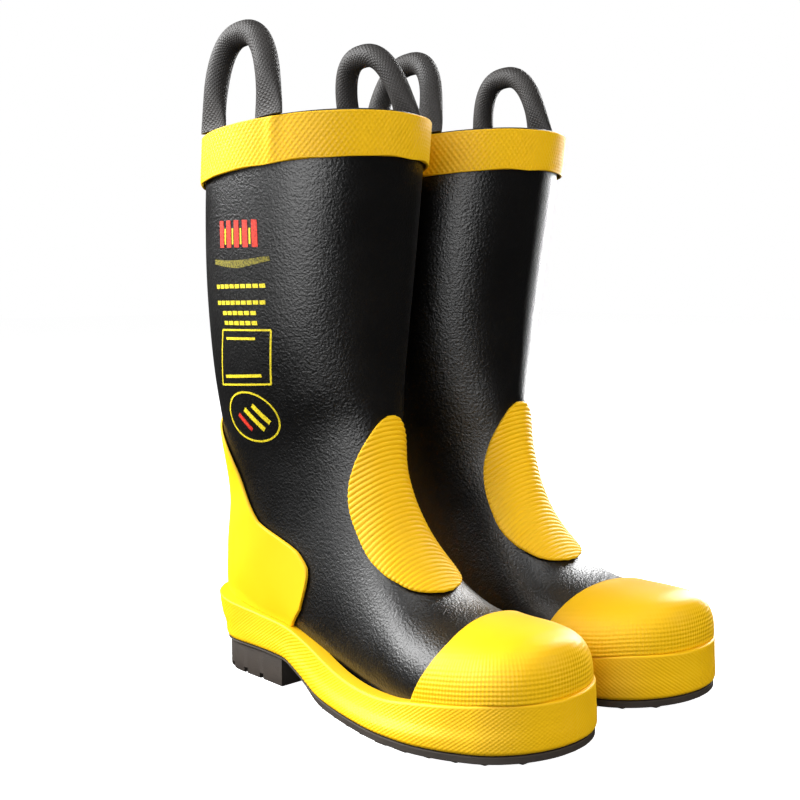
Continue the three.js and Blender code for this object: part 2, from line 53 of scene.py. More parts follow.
# Each boot is drawn in millimetres in its own coordinates: u forward from the back of the heel,
# v out to the little toe, z up. The loops' hinges in the frame give where the two boots stand.
loops = {
    "centreU": 80, "halfGauge": 61.5, "rimShift": 1, "halfSpan": 28.5, "rise": 57,
    "lean": {"lateral": 6, "medial": 15}, "rimSlope": 0.08, "gripRadius": 7.8, "legHalfWidth": 12.8,
    "legHalfThickness": 2.2, "rings": 120, "around": 36, "girth": 48, "bendReach": 0.014,
}
hingeOut = joints["right_lateral_loop_flex"]["pos_m"]
hingeIn = joints["right_medial_loop_flex"]["pos_m"]
halfSpacing = -500 * (hingeOut[0] + hingeIn[0]) - loops["rimShift"]
pairCentreU = 1000 * hingeOut[1] + loops["centreU"]
sides = {"right": -1, "left": 1}


def bump(x, centre, width):
    return np.exp(-(((x - centre) / width) ** 2))


def through(keys):  # a smooth curve through [x, y] keys, level beyond its ends
    x = np.array([k[0] for k in keys], float)
    y = np.array([k[1] for k in keys], float)
    last = len(x) - 1
    before, after = np.maximum(np.arange(last + 1) - 1, 0), np.minimum(np.arange(last + 1) + 1, last)
    slope = (y[after] - y[before]) / (x[after] - x[before])

    def curve(at):
        at = np.clip(np.asarray(at, float), x[0], x[-1])
        i = np.clip(np.searchsorted(x, at, "right") - 1, 0, last - 1)
        run = x[i + 1] - x[i]
        t = (at - x[i]) / run
        low = (1 + 2 * t) * (1 - t) ** 2 * y[i] + t * (1 - t) ** 2 * run * slope[i]
        return low + t * t * (3 - 2 * t) * y[i + 1] + t * t * (t - 1) * run * slope[i + 1]

    return curve


def smoothstep(x, low, high):
    t = np.clip((x - low) / (high - low), 0, 1)
    return t * t * (3 - 2 * t)


def unit(vectors):
    return vectors / np.linalg.norm(vectors, axis=-1, keepdims=True)


def runLength(points):  # the distance along a row of points from its first
    return np.concatenate([[0], np.cumsum(np.linalg.norm(np.diff(points, axis=0), axis=1))])


def signedPower(x, power):
    return np.sign(x) * np.abs(x) ** power


def cubic(a, b, c, d, t):  # Catmull-Rom between b and c
    return 0.5 * (2 * b + (c - a) * t + (2 * a - 5 * b + 4 * c - d) * t ** 2
                  + (3 * b - a - 3 * c + d) * t ** 3)


# Sections of the rubber from the toe tip back over the instep and up the shaft:
# front point (u, z), back point (u, z), half width, sideways shift.
sections = np.array([
    [292, 40, 292, 40, 0, -2],
    [288, 60, 288, 22, 23, -2],
    [276, 65.5, 276, 15.5, 39.5, -3],
    [256, 66, 256, 12.5, 49.5, -5],
    [228, 66.5, 228, 11.5, 54, -5.5],
    [202, 73, 202, 11.3, 52, -6],
    [180.5, 88.5, 172, 12.5, 47, -6.5],
    [165, 107.5, 131, 17.5, 42, -6],
    [156.5, 125.5, 81.5, 24.5, 39, -5],
    [151.5, 141.5, 33.5, 26, 38.5, -4],
    [148, 155.5, 0, 38, 39, -4],
    [146, 171, -4.5, 72, 40, -4.5],
    [144, 190, 1, 112, 43.5, -5],
    [142.5, 214, 2, 153, 51.5, -3],
    [143.5, 248.5, -0.5, 202, 59.5, -1.5],
    [148, 288.5, -3, 258, 63.5, -0.5],
    [153.5, 330.5, -1.5, 311.5, 65, 0.5],
    [158.5, 373.5, 2.5, 361, 65, 1],
], float)
rimSection = len(sections) - 1
rimPitch = 46  # millimetres of shaft between the last two sections


def sectionAt(s):
    tip = sections[1][[0, 3, 2, 1, 4, 5]] * [1, 1, 1, 1, -1, 1]
    keys = np.vstack([tip, sections, 2 * sections[-1] - sections[-2]])
    i = np.clip(np.floor(s).astype(int), 0, rimSection - 1)
    t = (s - i)[..., None]
    a, b, c, d = keys[i], keys[i + 1], keys[i + 2], keys[i + 3]
    return cubic(a, b, c, d, t)


def rubberPoint(s, angle):  # angle 0 on the shin, 90 degrees outwards, 180 behind or under
    s, angle = np.broadcast_arrays(np.asarray(s, float), np.asarray(angle, float))
    q = sectionAt(s)
    widest = 0.5 - 0.24 * bump(s, 6.3, 4)
    c, sn = np.cos(angle), np.sin(angle)
    power = np.where(c > 0, 2.1 + 0.4 * bump(s, 3, 1.8), 2.1 + 1.1 * bump(s, 5.3, 3))
    r = (np.abs(c) ** power + np.abs(sn) ** power) ** (-1 / power)
    along = widest + np.where(c > 0, 1 - widest, widest) * r * c
    u = q[..., 2] + (q[..., 0] - q[..., 2]) * along
    z = q[..., 3] + (q[..., 1] - q[..., 3]) * along
    return np.stack([u, q[..., 5] + q[..., 4] * r * sn, z], -1)


def offsetPoint(s, angle, distance):  # the same point moved out along the surface's normal
    s, angle, distance = np.broadcast_arrays(*(np.asarray(a, float) for a in (s, angle, distance)))
    probe, safe = 1e-3, np.maximum(s, 0.02)
    alongS = rubberPoint(safe + probe, angle) - rubberPoint(safe - probe, angle)
    alongAngle = rubberPoint(safe, angle + probe) - rubberPoint(safe, angle - probe)
    tip = smoothstep(s, 0.0, 0.25)[..., None]
    normal = unit(unit(np.cross(alongAngle, alongS)) * tip + np.array([1.0, 0, 0]) * (1 - tip))
    return rubberPoint(s, angle) + normal * distance[..., None]


sole = {
    "length": 298.7, "heelRadius": 41, "toeRadius": 57.6, "toeCentreV": -3.65, "samples": 600,
    "rimInset": 1, "rimThickness": 1.4, "coreInset": 4, "bandGap": 0.35,
}
outerSide = through([[41, 39.7], [80, 40.5], [110, 43.5], [140, 50], [165, 56], [190, 61], [210, 62.5],
                     [230, 60.5], [250, 55]])
innerSide = through([[41, 46.5], [80, 47.5], [115, 48.5], [140, 51], [165, 56], [195, 61.5], [215, 63.5],
                     [235, 62.5], [250, 60.5]])
soleBottom = through([[0, 19.7], [88, 19.7], [105, 14.3], [116, 10], [130, 5.7], [150, 4], [200, 4],
                      [250, 4.3], [275, 5.6], [299, 7.5]])
coreTop = through([[0, 23.6], [33, 23.6], [60, 22.7], [81.5, 21.9], [131, 15.3], [172, 10.4], [202, 9.2],
                   [228, 9.4], [256, 10.4], [276, 13], [299, 14.5]])
bandTop = through([[0, 53], [30, 48.5], [60, 45.5], [90, 42.5], [117, 35], [138, 28.5], [156, 24.8],
                   [176, 23.5], [202, 25], [225, 28.5], [256, 33], [275, 36], [299, 37]])
# the band's top edge in from its foot; behind the heel it flares out round the counter
outerTopInset = through([[0, -7], [12, -5.4], [40, 0.4], [80, 1.8], [130, 4.5], [180, 8], [225, 7.5],
                         [255, 3.5], [290, 1]])
innerTopInset = through([[0, -7], [12, -5.4], [40, 0.4], [80, 1.2], [150, 1.6], [220, 2], [260, 1.8],
                         [290, 1]])


def smoothPath(points, count):  # a Catmull-Rom curve through the points, at equal steps
    keys = np.vstack([2 * points[0] - points[1], points, 2 * points[-1] - points[-2]])
    t = np.linspace(0, 1, 25)[:-1, None]
    spans = zip(keys, keys[1:], keys[2:], keys[3:])
    dense = np.vstack([cubic(a, b, c, d, t) for a, b, c, d in spans] + [points[-1:]])
    length = runLength(dense)
    at = np.linspace(0, length[-1], count)
    return np.stack([np.interp(at, length, dense[:, k]) for k in range(dense.shape[1])], 1)


def soleSide(sign, profile):  # one side from the heel's back to the toe's tip
    turn = np.linspace(0, math.pi / 2, 7)
    heel = np.stack([sole["heelRadius"] * (1 - np.cos(turn)), profile(sole["heelRadius"]) * np.sin(turn)], 1)
    u = np.array([62, 86, 108, 128, 148, 172, 198, 224, 243.0])
    flank = np.stack([u, profile(u)], 1)
    turn = np.radians(np.linspace(72, 0, 7))
    nose = np.stack([sole["length"] - sole["toeRadius"] * (1 - np.cos(turn)),
                     sign * sole["toeCentreV"] + sole["toeRadius"] * np.sin(turn)], 1)
    points = np.vstack([heel, flank, nose])
    points[:, 1] *= sign
    return smoothPath(points, sole["samples"] + 1)


def soleRing():
    outer, inner = soleSide(1, outerSide), soleSide(-1, innerSide)
    ring = np.vstack([outer, inner[-2:0:-1]])
    run = np.roll(ring, -1, 0) - np.roll(ring, 1, 0)
    normal = unit(np.stack([-run[:, 1], run[:, 0]], 1))
    return ring, normal * np.sign(np.sum(normal * (ring - ring.mean(0))))


ringPoints, ringNormals = soleRing()
ringSide = smoothstep(ringPoints[:, 1], -12, 12)  # 1 on the outer side of the foot
ringTopInset = outerTopInset(ringPoints[:, 0]) * ringSide + innerTopInset(ringPoints[:, 0]) * (1 - ringSide)


def soleRow(inset, height):  # a ring at an inset, with a height for each point's own u
    flat = ringPoints - ringNormals * np.broadcast_to(inset, len(ringPoints))[:, None]
    return np.column_stack([flat, height(flat[:, 0])])


def patch(points, wrap=False, around=None, up=None, share=1.0):
    # a grid of points with its lengths around and up in millimetres and its share of the ridges
    points = np.asarray(points, float)
    rows, columns = points.shape[:2]
    if around is None:
        around = runLength(points[rows // 2])
        if wrap:
            lastStep = np.linalg.norm(points[rows // 2, -1] - points[rows // 2, 0])
            around = np.append(around, around[-1] + lastStep)
    around = np.broadcast_to(around, (rows, columns + 1 if wrap else columns))
    if up is None:
        up = runLength(points[:, 0])[:, None]
    up = np.broadcast_to(up, (rows, columns))
    return {"points": points, "wrap": wrap, "around": around, "up": up,
            "share": np.broadcast_to(share, (rows, columns))}


def makeMesh(name, patches, side):  # welded, facing out, in metres in the row frame
    points, faces, uv, marks, first = [], [], [], [], 0
    for p in patches:
        rows, columns = p["points"].shape[:2]
        spans = columns if p["wrap"] else columns - 1
        i, j = np.meshgrid(np.arange(rows - 1), np.arange(spans), indexing="ij")
        k = (j + 1) % columns
        corners = [(i, j, j), (i, k, j + 1), (i + 1, k, j + 1), (i + 1, j, j)]
        faces.append(first + np.stack([a * columns + b for a, b, _ in corners], -1).reshape(-1, 4))
        flat = [np.stack([p["around"][a, c], p["up"][a, b]], -1) for a, b, c in corners]
        uv.append(np.stack(flat, 2).reshape(-1, 2))
        points.append(p["points"].reshape(-1, 3))
        marks.append(np.stack([p["around"][:, :columns], p["up"], p["share"]], -1).reshape(-1, 3))
        first += rows * columns
    u, v, z = np.vstack(points).T
    row = np.column_stack([side * (halfSpacing + v), pairCentreU - u, z]) / 1000
    mesh = bpy.data.meshes.new(name)
    mesh.from_pydata(row.tolist(), [], np.vstack(faces).tolist())
    layer = mesh.uv_layers.new(name="millimetres")
    layer.uv.foreach_set("vector", np.vstack(uv).astype(np.float32).ravel())
    for at, label in enumerate(("aroundMm", "upMm", "reliefShare")):
        values = mesh.attributes.new(label, "FLOAT", "POINT")
        values.data.foreach_set("value", np.vstack(marks)[:, at].astype(np.float32).ravel())
    work = bmesh.new()
    work.from_mesh(mesh)
    bmesh.ops.remove_doubles(work, verts=work.verts, dist=2e-6)
    bmesh.ops.recalc_face_normals(work, faces=work.faces)
    work.to_mesh(mesh)
    work.free()
    piece = bpy.data.objects.new(name, mesh)
    bpy.context.scene.collection.objects.link(piece)
    return piece


def settle(piece):  # applies the piece's modifiers, so that it is a plain mesh
    graph = bpy.context.evaluated_depsgraph_get()
    mesh = bpy.data.meshes.new_from_object(piece.evaluated_get(graph))
    piece.modifiers.clear()
    piece.data = mesh


def finishPiece(piece, material, slot, body, *nodes, sharp=38):
    if material:
        piece.data.materials.clear()
        piece.data.materials.append(material)
    piece.data.shade_smooth()
    piece.data.set_sharp_from_angle(angle=math.radians(sharp))
    if body:
        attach(piece, body)
    if nodes:
        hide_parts(*nodes)
    return piece


def edgeDistance(points, wrap):  # millimetres from each point to its nearest open edge
    down = np.linalg.norm(np.diff(points, axis=0), axis=2)
    if wrap:  # only the last row is an edge
        return np.concatenate([np.cumsum(down[::-1], 0)[::-1], np.zeros((1, points.shape[1]))])
    fromTop = np.concatenate([np.zeros((1, points.shape[1])), np.cumsum(down, 0)])
    along = np.linalg.norm(np.diff(points, axis=1), axis=2)
    fromLeft = np.concatenate([np.zeros((points.shape[0], 1)), np.cumsum(along, 1)], 1)
    nearer = np.minimum(fromTop, fromTop[-1] - fromTop)
    return np.minimum(nearer, np.minimum(fromLeft, fromLeft[:, -1:] - fromLeft))


def roundEdge(distance, radius):  # 0 at the edge, rising on a quarter circle to 1
    t = np.clip(distance / radius, 0, 1)
    return np.sqrt(np.maximum(1 - (1 - t) ** 2, 0))


def denseEnds(count, power=1.6):  # steps from 0 to 1, closer together at both ends
    t = np.linspace(-1, 1, count)
    return 0.5 + 0.5 * np.sign(t) * (1 - (1 - np.abs(t)) ** power)


def closedSheet(outer, inner):  # two grids of the same size and the walls between their edges
    walls = [np.stack([outer[0], inner[0]]), np.stack([outer[-1], inner[-1]]),
             np.stack([outer[:, 0], inner[:, 0]]), np.stack([outer[:, -1], inner[:, -1]])]
    return [patch(outer), patch(inner)] + [patch(w) for w in walls]


def closeEnds(rings):  # rings along a rod, with both ends drawn in to a point
    ends = [np.broadcast_to(rings[k].mean(0), rings[k].shape) for k in (0, -1)]
    return np.concatenate([[ends[0]], rings, [ends[1]]])


def cutAway(piece, walls, side):
    cutter = makeMesh("cutter", walls, side)
    modifier = piece.modifiers.new("cut", "BOOLEAN")
    modifier.operation, modifier.solver, modifier.object = "DIFFERENCE", "EXACT", cutter
    settle(piece)
    bpy.data.objects.remove(cutter)


def addNode(tree, kind, links=None, **settings):  # links: a socket, or a value for that input
    node = tree.nodes.new(kind)
    for key, value in settings.items():
        setattr(node, key, value)
    for key, value in (links or {}).items():
        if isinstance(value, bpy.types.NodeSocket):
            tree.links.new(value, node.inputs[key])
        else:
            node.inputs[key].default_value = value
    return node


def hexColour(code):
    parts = [int(code[i:i + 2], 16) / 255 for i in (1, 3, 5)]
    return [c / 12.92 if c <= 0.04045 else ((c + 0.055) / 1.055) ** 2.4 for c in parts] + [1]


def closeTree(tree, geometry, material):
    real = addNode(tree, "GeometryNodeRealizeInstances", {"Geometry": geometry})
    dressed = addNode(tree, "GeometryNodeSetMaterial", {"Geometry": real.outputs[0], "Material": material})
    addNode(tree, "NodeGroupOutput", {0: dressed.outputs[0]})


def reliefTree():  # ridges in one or two crossing families, raised along the normal
    tree = bpy.data.node_groups.new("ridges", "GeometryNodeTree")
    made = {}
    made["Geometry"] = tree.interface.new_socket("Geometry", in_out="INPUT", socket_type="NodeSocketGeometry")
    for label in ("Pitch", "Angle", "Crossing", "Depth"):
        made[label] = tree.interface.new_socket(label, in_out="INPUT", socket_type="NodeSocketFloat")
    made["Material"] = tree.interface.new_socket("Material", in_out="INPUT", socket_type="NodeSocketMaterial")
    tree.interface.new_socket("Geometry", in_out="OUTPUT", socket_type="NodeSocketGeometry")
    given = addNode(tree, "NodeGroupInput").outputs

    values = {label: given[label] for label in ("Pitch", "Angle", "Crossing", "Depth")}
    for label in ("aroundMm", "upMm", "reliefShare"):
        values[label] = addNode(tree, "GeometryNodeInputNamedAttribute", {"Name": label},
                                data_type="FLOAT").outputs[0]
    steps = [("cosine", "COSINE", "Angle", 0.0), ("sine", "SINE", "Angle", 0.0),
             ("across", "MULTIPLY", "aroundMm", "cosine"), ("along", "MULTIPLY", "upMm", "sine"),
             ("perMm", "DIVIDE", math.pi, "Pitch")]
    for family, operation in (("first", "ADD"), ("second", "SUBTRACT")):
        steps += [(family, operation, "along", "across"), (family, "MULTIPLY", family, "perMm"),
                  (family, "SINE", family, 0.0), (family, "ABSOLUTE", family, 0.0)]
    steps += [("uncrossed", "SUBTRACT", 1.0, "Crossing"), ("crossed", "MULTIPLY", "second", "Crossing"),
              ("kept", "ADD", "uncrossed", "crossed"), ("height", "MULTIPLY", "first", "kept"),
              ("height", "SUBTRACT", "height", 0.6),  # so the sheet's mean surface stays in place
              ("height", "MULTIPLY", "height", "Depth"), ("share", "MULTIPLY", "reliefShare", 0.001),
              ("metres", "MULTIPLY", "height", "share")]
    for result, operation, one, other in steps:
        inputs = {0: values.get(one, one), 1: values.get(other, other)}
        values[result] = addNode(tree, "ShaderNodeMath", inputs, operation=operation).outputs[0]
    normal = addNode(tree, "GeometryNodeInputNormal").outputs[0]
    offset = addNode(tree, "ShaderNodeVectorMath", {0: normal, "Scale": values["metres"]},
                     operation="SCALE").outputs[0]
    moved = addNode(tree, "GeometryNodeSetPosition", {"Geometry": given["Geometry"], "Offset": offset})
    closeTree(tree, moved.outputs[0], given["Material"])
    return tree, {label: item.identifier for label, item in made.items()}


ridgeTree, ridgeInputs = reliefTree()


def raiseRidges(piece, material, settings):
    modifier = piece.modifiers.new("ridges", "NODES")
    modifier.node_group = ridgeTree
    values = {"Pitch": settings["pitch"], "Angle": math.radians(settings["angle"]),
              "Crossing": settings["crossing"], "Depth": settings["depth"], "Material": material}
    for label, value in values.items():
        modifier[ridgeInputs[label]] = value
    settle(piece)


def newMaterial(name, **values):
    material = bpy.data.materials.new(name)
    material.use_nodes = True
    tree = material.node_tree
    shader = tree.nodes["Principled BSDF"]
    for key, value in values.items():
        shader.inputs[key.replace("_", " ")].default_value = value
    where = addNode(tree, "ShaderNodeTexCoord").outputs["Object"]
    return material, tree, shader, where


def perMetre(millimetres):  # a texture's scale for a feature of that size
    return 1000 / millimetres


def coat(tree, shader, tone, colours, height=None, relief=(0, 0), gloss=None):
    # the tone pattern runs between the two colours and over the roughness; the height pattern
    # is raised by relief: a strength and a depth in millimetres
    mix = addNode(tree, "ShaderNodeMix", {"Factor": tone, 6: hexColour(colours[0]), 7: hexColour(colours[1])},
                  data_type="RGBA")
    tree.links.new(mix.outputs[2], shader.inputs["Base Color"])
    if gloss:
        low, high, smooth, rough = gloss
        spread = addNode(tree, "ShaderNodeMapRange", {"Value": tone, 1: low, 2: high, 3: smooth, 4: rough})
        tree.links.new(spread.outputs[0], shader.inputs["Roughness"])
    if height:
        bumps = addNode(tree, "ShaderNodeBump", {"Height": height, "Strength": relief[0],
                                                 "Distance": relief[1] / 1000})
        tree.links.new(bumps.outputs[0], shader.inputs["Normal"])


def blackRubberGrained():  # natural rubber moulded against a leather-grained last, lightly waxed
    material, tree, shader, where = newMaterial("black_rubber_leather_grained", IOR=1.52,
                                                Specular_IOR_Level=0.75)
    cells = addNode(tree, "ShaderNodeTexVoronoi",
                    {"Vector": where, "Scale": perMetre(1.7), "Randomness": 0.9}, feature="SMOOTH_F1")
    fine = addNode(tree, "ShaderNodeTexNoise", {"Vector": where, "Scale": perMetre(0.9), "Detail": 3.0})
    broad = addNode(tree, "ShaderNodeTexNoise",
                    {"Vector": where, "Scale": perMetre(60), "Detail": 4.0, "Roughness": 0.6})
    height = addNode(tree, "ShaderNodeMath", {0: cells.outputs["Distance"], 1: fine.outputs["Fac"]},
                     operation="ADD")
    coat(tree, shader, broad.outputs["Fac"], ("#050505", "#0a0909"), height.outputs[0], (0.8, 0.32),
         (0.35, 0.65, 0.28, 0.38))
    return material


waveUnit = 0.314  # a wave of scale 1 repeats about every 0.314 of a unit


def fineRibs(tree):  # height of a grid of moulded lines, fading with the piece's own relief share
    uv = addNode(tree, "ShaderNodeUVMap", uv_map="millimetres").outputs[0]
    share = addNode(tree, "ShaderNodeAttribute", attribute_name="reliefShare").outputs["Fac"]
    heights = []
    for direction, pitch in (("Y", 2.6), ("X", 2.1)):
        waves = addNode(tree, "ShaderNodeTexWave", {"Vector": uv, "Scale": waveUnit / pitch},
                        bands_direction=direction)
        heights.append(waves.outputs["Fac"])
    weaker = addNode(tree, "ShaderNodeMath", {0: heights[1], 1: 0.7}, operation="MULTIPLY")
    both = addNode(tree, "ShaderNodeMath", {0: heights[0], 1: weaker.outputs[0]}, operation="ADD")
    return addNode(tree, "ShaderNodeMath", {0: both.outputs[0], 1: share}, operation="MULTIPLY").outputs[0]


def yellowRubberMoulded(name, ribbed):  # pigmented rubber from a polished mould: satin, faintly uneven
    material, tree, shader, where = newMaterial(name, IOR=1.5, Specular_IOR_Level=0.3)
    broad = addNode(tree, "ShaderNodeTexNoise", {"Vector": where, "Scale": perMetre(45), "Detail": 3.0})
    fine = addNode(tree, "ShaderNodeTexNoise", {"Vector": where, "Scale": perMetre(0.8), "Detail": 2.0})
    coat(tree, shader, broad.outputs["Fac"], ("#f1b80a", "#f6c410"), fine.outputs["Fac"], (0.25, 0.1),
         (0.3, 0.7, 0.42, 0.55))
    if ribbed:
        under = shader.inputs["Normal"].links[0].from_socket
        ribs = addNode(tree, "ShaderNodeBump", {"Height": fineRibs(tree), "Normal": under, "Strength": 0.8,
                                                "Distance": 0.0003})
        tree.links.new(ribs.outputs[0], shader.inputs["Normal"])
    return material


def soleRubberMoulded():  # filled nitrile rubber: matte, with dust in its pores
    material, tree, shader, where = newMaterial("nitrile_sole_rubber_moulded", IOR=1.52)
    grit = addNode(tree, "ShaderNodeTexNoise", {"Vector": where, "Scale": perMetre(1.2), "Detail": 5.0})
    dust = addNode(tree, "ShaderNodeTexNoise", {"Vector": where, "Scale": perMetre(12), "Detail": 4.0})
    coat(tree, shader, dust.outputs["Fac"], ("#28231f", "#423a33"), grit.outputs["Fac"], (0.5, 0.2),
         (0.3, 0.7, 0.62, 0.8))
    return material


def strapRubberWoven():  # rubbered canvas rolled into a grip: the weave shows through the skin
    material, tree, shader, where = newMaterial("rubbered_canvas_rolled", IOR=1.5)
    uv = addNode(tree, "ShaderNodeUVMap", uv_map="millimetres").outputs[0]
    heights = []
    for turn in (45, -45):  # threads 1.9 mm apart
        turned = addNode(tree, "ShaderNodeMapping", {"Vector": uv, "Rotation": (0, 0, math.radians(turn))})
        waves = addNode(tree, "ShaderNodeTexWave", {"Vector": turned.outputs[0], "Scale": waveUnit / 1.9,
                                                    "Distortion": 0.6, "Detail": 1.0})
        heights.append(waves.outputs["Fac"])
    weave = addNode(tree, "ShaderNodeMath", {0: heights[0], 1: heights[1]}, operation="MULTIPLY")
    broad = addNode(tree, "ShaderNodeTexNoise", {"Vector": where, "Scale": perMetre(25), "Detail": 4.0})
    coat(tree, shader, broad.outputs["Fac"], ("#1d1b1a", "#312e2c"), weave.outputs[0], (0.7, 0.4),
         (0.3, 0.7, 0.5, 0.68))
    return material


def cottonKnit():  # dark cotton tube knit: soft, ribbed every 2.2 mm, with a little fuzz
    material, tree, shader, _ = newMaterial("cotton_knit", Roughness=0.95, Sheen_Weight=0.4,
                                            Sheen_Roughness=0.6)
    uv = addNode(tree, "ShaderNodeUVMap", uv_map="millimetres").outputs[0]
    waves = addNode(tree, "ShaderNodeTexWave", {"Vector": uv, "Scale": waveUnit / 2.2, "Distortion": 1.5,
                                                "Detail": 2.0})
    ribs = waves.outputs["Fac"]
    # the colour follows the rib height: darker in the hollows and lighter on the crests, which is painted
    # shade in the rib hollows
    coat(tree, shader, ribs, ("#1b1b1d", "#2d2d30"), ribs, (0.8, 0.6))
    return material


def pressedSteel():  # cold-rolled sheet, deep drawn: grey, with faint drawing marks
    material, tree, shader, where = newMaterial("pressed_steel_sheet", Metallic=1.0)
    stretched = addNode(tree, "ShaderNodeMapping", {"Vector": where, "Scale": (1, 12, 12)})
    drawn = addNode(tree, "ShaderNodeTexNoise",
                    {"Vector": stretched.outputs[0], "Scale": perMetre(8), "Detail": 5.0})
    coat(tree, shader, drawn.outputs["Fac"], ("#8f9397", "#a9adb1"), gloss=(0.3, 0.7, 0.28, 0.42))
    return material


def needleFelt():  # grey polyester felt, needled: matted fibres
    material, tree, shader, where = newMaterial("needle_felt", Roughness=0.95, Sheen_Weight=0.5)
    fibres = addNode(tree, "ShaderNodeTexNoise", {"Vector": where, "Scale": perMetre(0.9), "Detail": 6.0,
                                                  "Distortion": 1.5})
    coat(tree, shader, fibres.outputs["Fac"], ("#54524c", "#7b776e"), fibres.outputs["Fac"], (0.9, 0.4))
    return material


def screenInk(name, dark, light):  # rubber ink screened on the grain: thin, so the grain breaks it up
    material, tree, shader, where = newMaterial(name, Roughness=0.5)
    grain = addNode(tree, "ShaderNodeTexNoise", {"Vector": where, "Scale": perMetre(1.2), "Detail": 3.0})
    spread = addNode(tree, "ShaderNodeMapRange", {"Value": grain.outputs["Fac"], 1: 0.42, 2: 0.55})
    coat(tree, shader, spread.outputs[0], (dark, light), grain.outputs["Fac"], (0.3, 0.1))
    return material


blackRubber = blackRubberGrained()
yellowRubber = yellowRubberMoulded("yellow_rubber_moulded", False)
capRubber = yellowRubberMoulded("yellow_rubber_moulded_fine_ribs", True)
soleRubber = soleRubberMoulded()
strapRubber = strapRubberWoven()
knit = cottonKnit()
steel = pressedSteel()
felt = needleFelt()
redInk = screenInk("red_screen_ink", "#b5261c", "#e63a24")
yellowInk = screenInk("yellow_screen_ink", "#cdb81c", "#f0dc2a")
oliveInk = screenInk("faded_yellow_screen_ink", "#4c4719", "#857b22")
print("materials made")


shell = {"thickness": 3, "rows": 170, "insideRows": 70, "columns": 144, "lipRise": 1.0}


def tube(outside, inside, rows, insideRows, columns, rise):  # a sock: out from the toe, over the rim and back
    angle = np.linspace(0, 2 * math.pi, columns, endpoint=False)
    s = np.linspace(0, 1, rows) ** 1.08 * rimSection
    out = [offsetPoint(k, angle, outside(k)) for k in s]
    lip = []
    for turn in np.linspace(0, math.pi, 8)[1:-1]:
        share = (1 - math.cos(turn)) / 2
        depth = outside(rimSection) * (1 - share) + inside(rimSection) * share
        lip.append(offsetPoint(rimSection + rise * math.sin(turn) / rimPitch, angle, depth))
    back = [offsetPoint(k, angle, inside(k)) for k in np.linspace(rimSection, 0, insideRows)]
    return patch(np.array(out + lip + back), wrap=True)


def bootShell(name, side):
    grid = tube(lambda s: 0.0, lambda s: -shell["thickness"], shell["rows"], shell["insideRows"],
                shell["columns"], shell["lipRise"])
    piece = makeMesh(f"{name}_rubber_shell", [grid], side)
    return finishPiece(piece, blackRubber, "black_rubber", f"{name}_boot", f"{name}_upper")


sock = {
    "toeOuter": -6.5, "toeInner": -8, "outer": -4.4, "inner": -6.1, "stepFrom": 3.9, "stepTo": 5.2,
    "rows": 80, "columns": 96, "lipRise": 0.6,
}


def knittedSock(name, side):
    def layer(toe, shaft):
        return lambda s: toe + (shaft - toe) * float(smoothstep(s, sock["stepFrom"], sock["stepTo"]))

    grid = tube(layer(sock["toeOuter"], sock["outer"]), layer(sock["toeInner"], sock["inner"]),
                sock["rows"], sock["rows"], sock["columns"], sock["lipRise"])
    piece = makeMesh(f"{name}_knit_sock", [grid], side)
    return finishPiece(piece, knit, "knit_lining", f"{name}_boot", f"{name}_lining")


collar = {
    "height": 29, "inner": 1.75, "outer": 3.6, "edge": 0.9, "columns": 720, "faceRows": 40, "backRows": 6,
    "pitch": 2.9, "angle": 38, "crossing": 0.85, "depth": 0.55,
    "foldU": 113, "foldWidth": 4, "foldHeight": 1.6, "wave": 0.5,
}


def collarBand(name, side):
    c = collar
    angle = np.linspace(0, 2 * math.pi, c["columns"], endpoint=False)
    corner = np.linspace(0, math.pi / 2, 5)
    straight = c["outer"] - c["edge"]
    # the profile in (height, offset), from the back's foot round the face and over the top edge
    foot = [(c["edge"] * (1 - math.sin(a)), straight + c["edge"] * math.cos(a)) for a in corner[::-1]]
    face = [(h, c["outer"]) for h in np.linspace(c["edge"], c["height"] - c["edge"], c["faceRows"])[1:-1]]
    top = [(c["height"] - c["edge"] * (1 - math.sin(a)), straight + c["edge"] * math.cos(a)) for a in corner]
    back = [(h, c["inner"]) for h in np.linspace(c["height"], 0, c["backRows"])]
    u = rubberPoint(rimSection, angle)[:, 0]
    fold = c["foldHeight"] * bump(u, c["foldU"], c["foldWidth"]) * (np.sin(angle) > 0)
    ripple = c["wave"] * (np.sin(9 * angle) + 0.6 * np.sin(14 * angle + 1))
    rows, up, share = [], [], []
    for h, offset in foot + face + top + back + foot[:1]:
        proud = (offset - c["inner"]) / (c["outer"] - c["inner"])
        wavy = ripple * proud * (0.3 if h > c["height"] / 2 else 1) * abs(2 * h / c["height"] - 1)
        lifted = fold * proud * (0.35 + 0.65 * h / c["height"])
        rows.append(offsetPoint(rimSection + (h - c["height"] + wavy) / rimPitch, angle, offset + lifted))
        up.append(h)
        share.append(1.0 if abs(offset - c["outer"]) < 1e-9 else 0.0)
    points = np.array(rows)
    middle = points[len(foot) + 5]
    perimeter = np.linalg.norm(middle - np.roll(middle, 1, 0), axis=1).sum()
    wave = c["pitch"] / math.cos(math.radians(c["angle"]))  # the ridges close up round the rim
    around = np.linspace(0, 1, c["columns"] + 1) * round(perimeter / wave) * wave
    grid = patch(points, True, around, np.array(up)[:, None], np.array(share)[:, None])
    piece = makeMesh(f"{name}_rim_collar", [grid], side)
    raiseRidges(piece, yellowRubber, c)
    return finishPiece(piece, yellowRubber, "yellow_rubber", f"{name}_boot", f"{name}_collar_band", sharp=60)


patches = {"inner": 1.35, "outer": 3.0, "radius": 1.6, "clearance": 0.35}


def trimBelowBand(piece, side):  # cuts off what would stand inside the band
    u = np.linspace(-20, 320, 120)
    v = np.linspace(-90, 90, 3)
    top = np.array([[(a, b, float(bandTop(a)) + patches["clearance"]) for b in v] for a in u])
    low = top.copy()
    low[..., 2] = -30
    cutAway(piece, closedSheet(top, low), side)


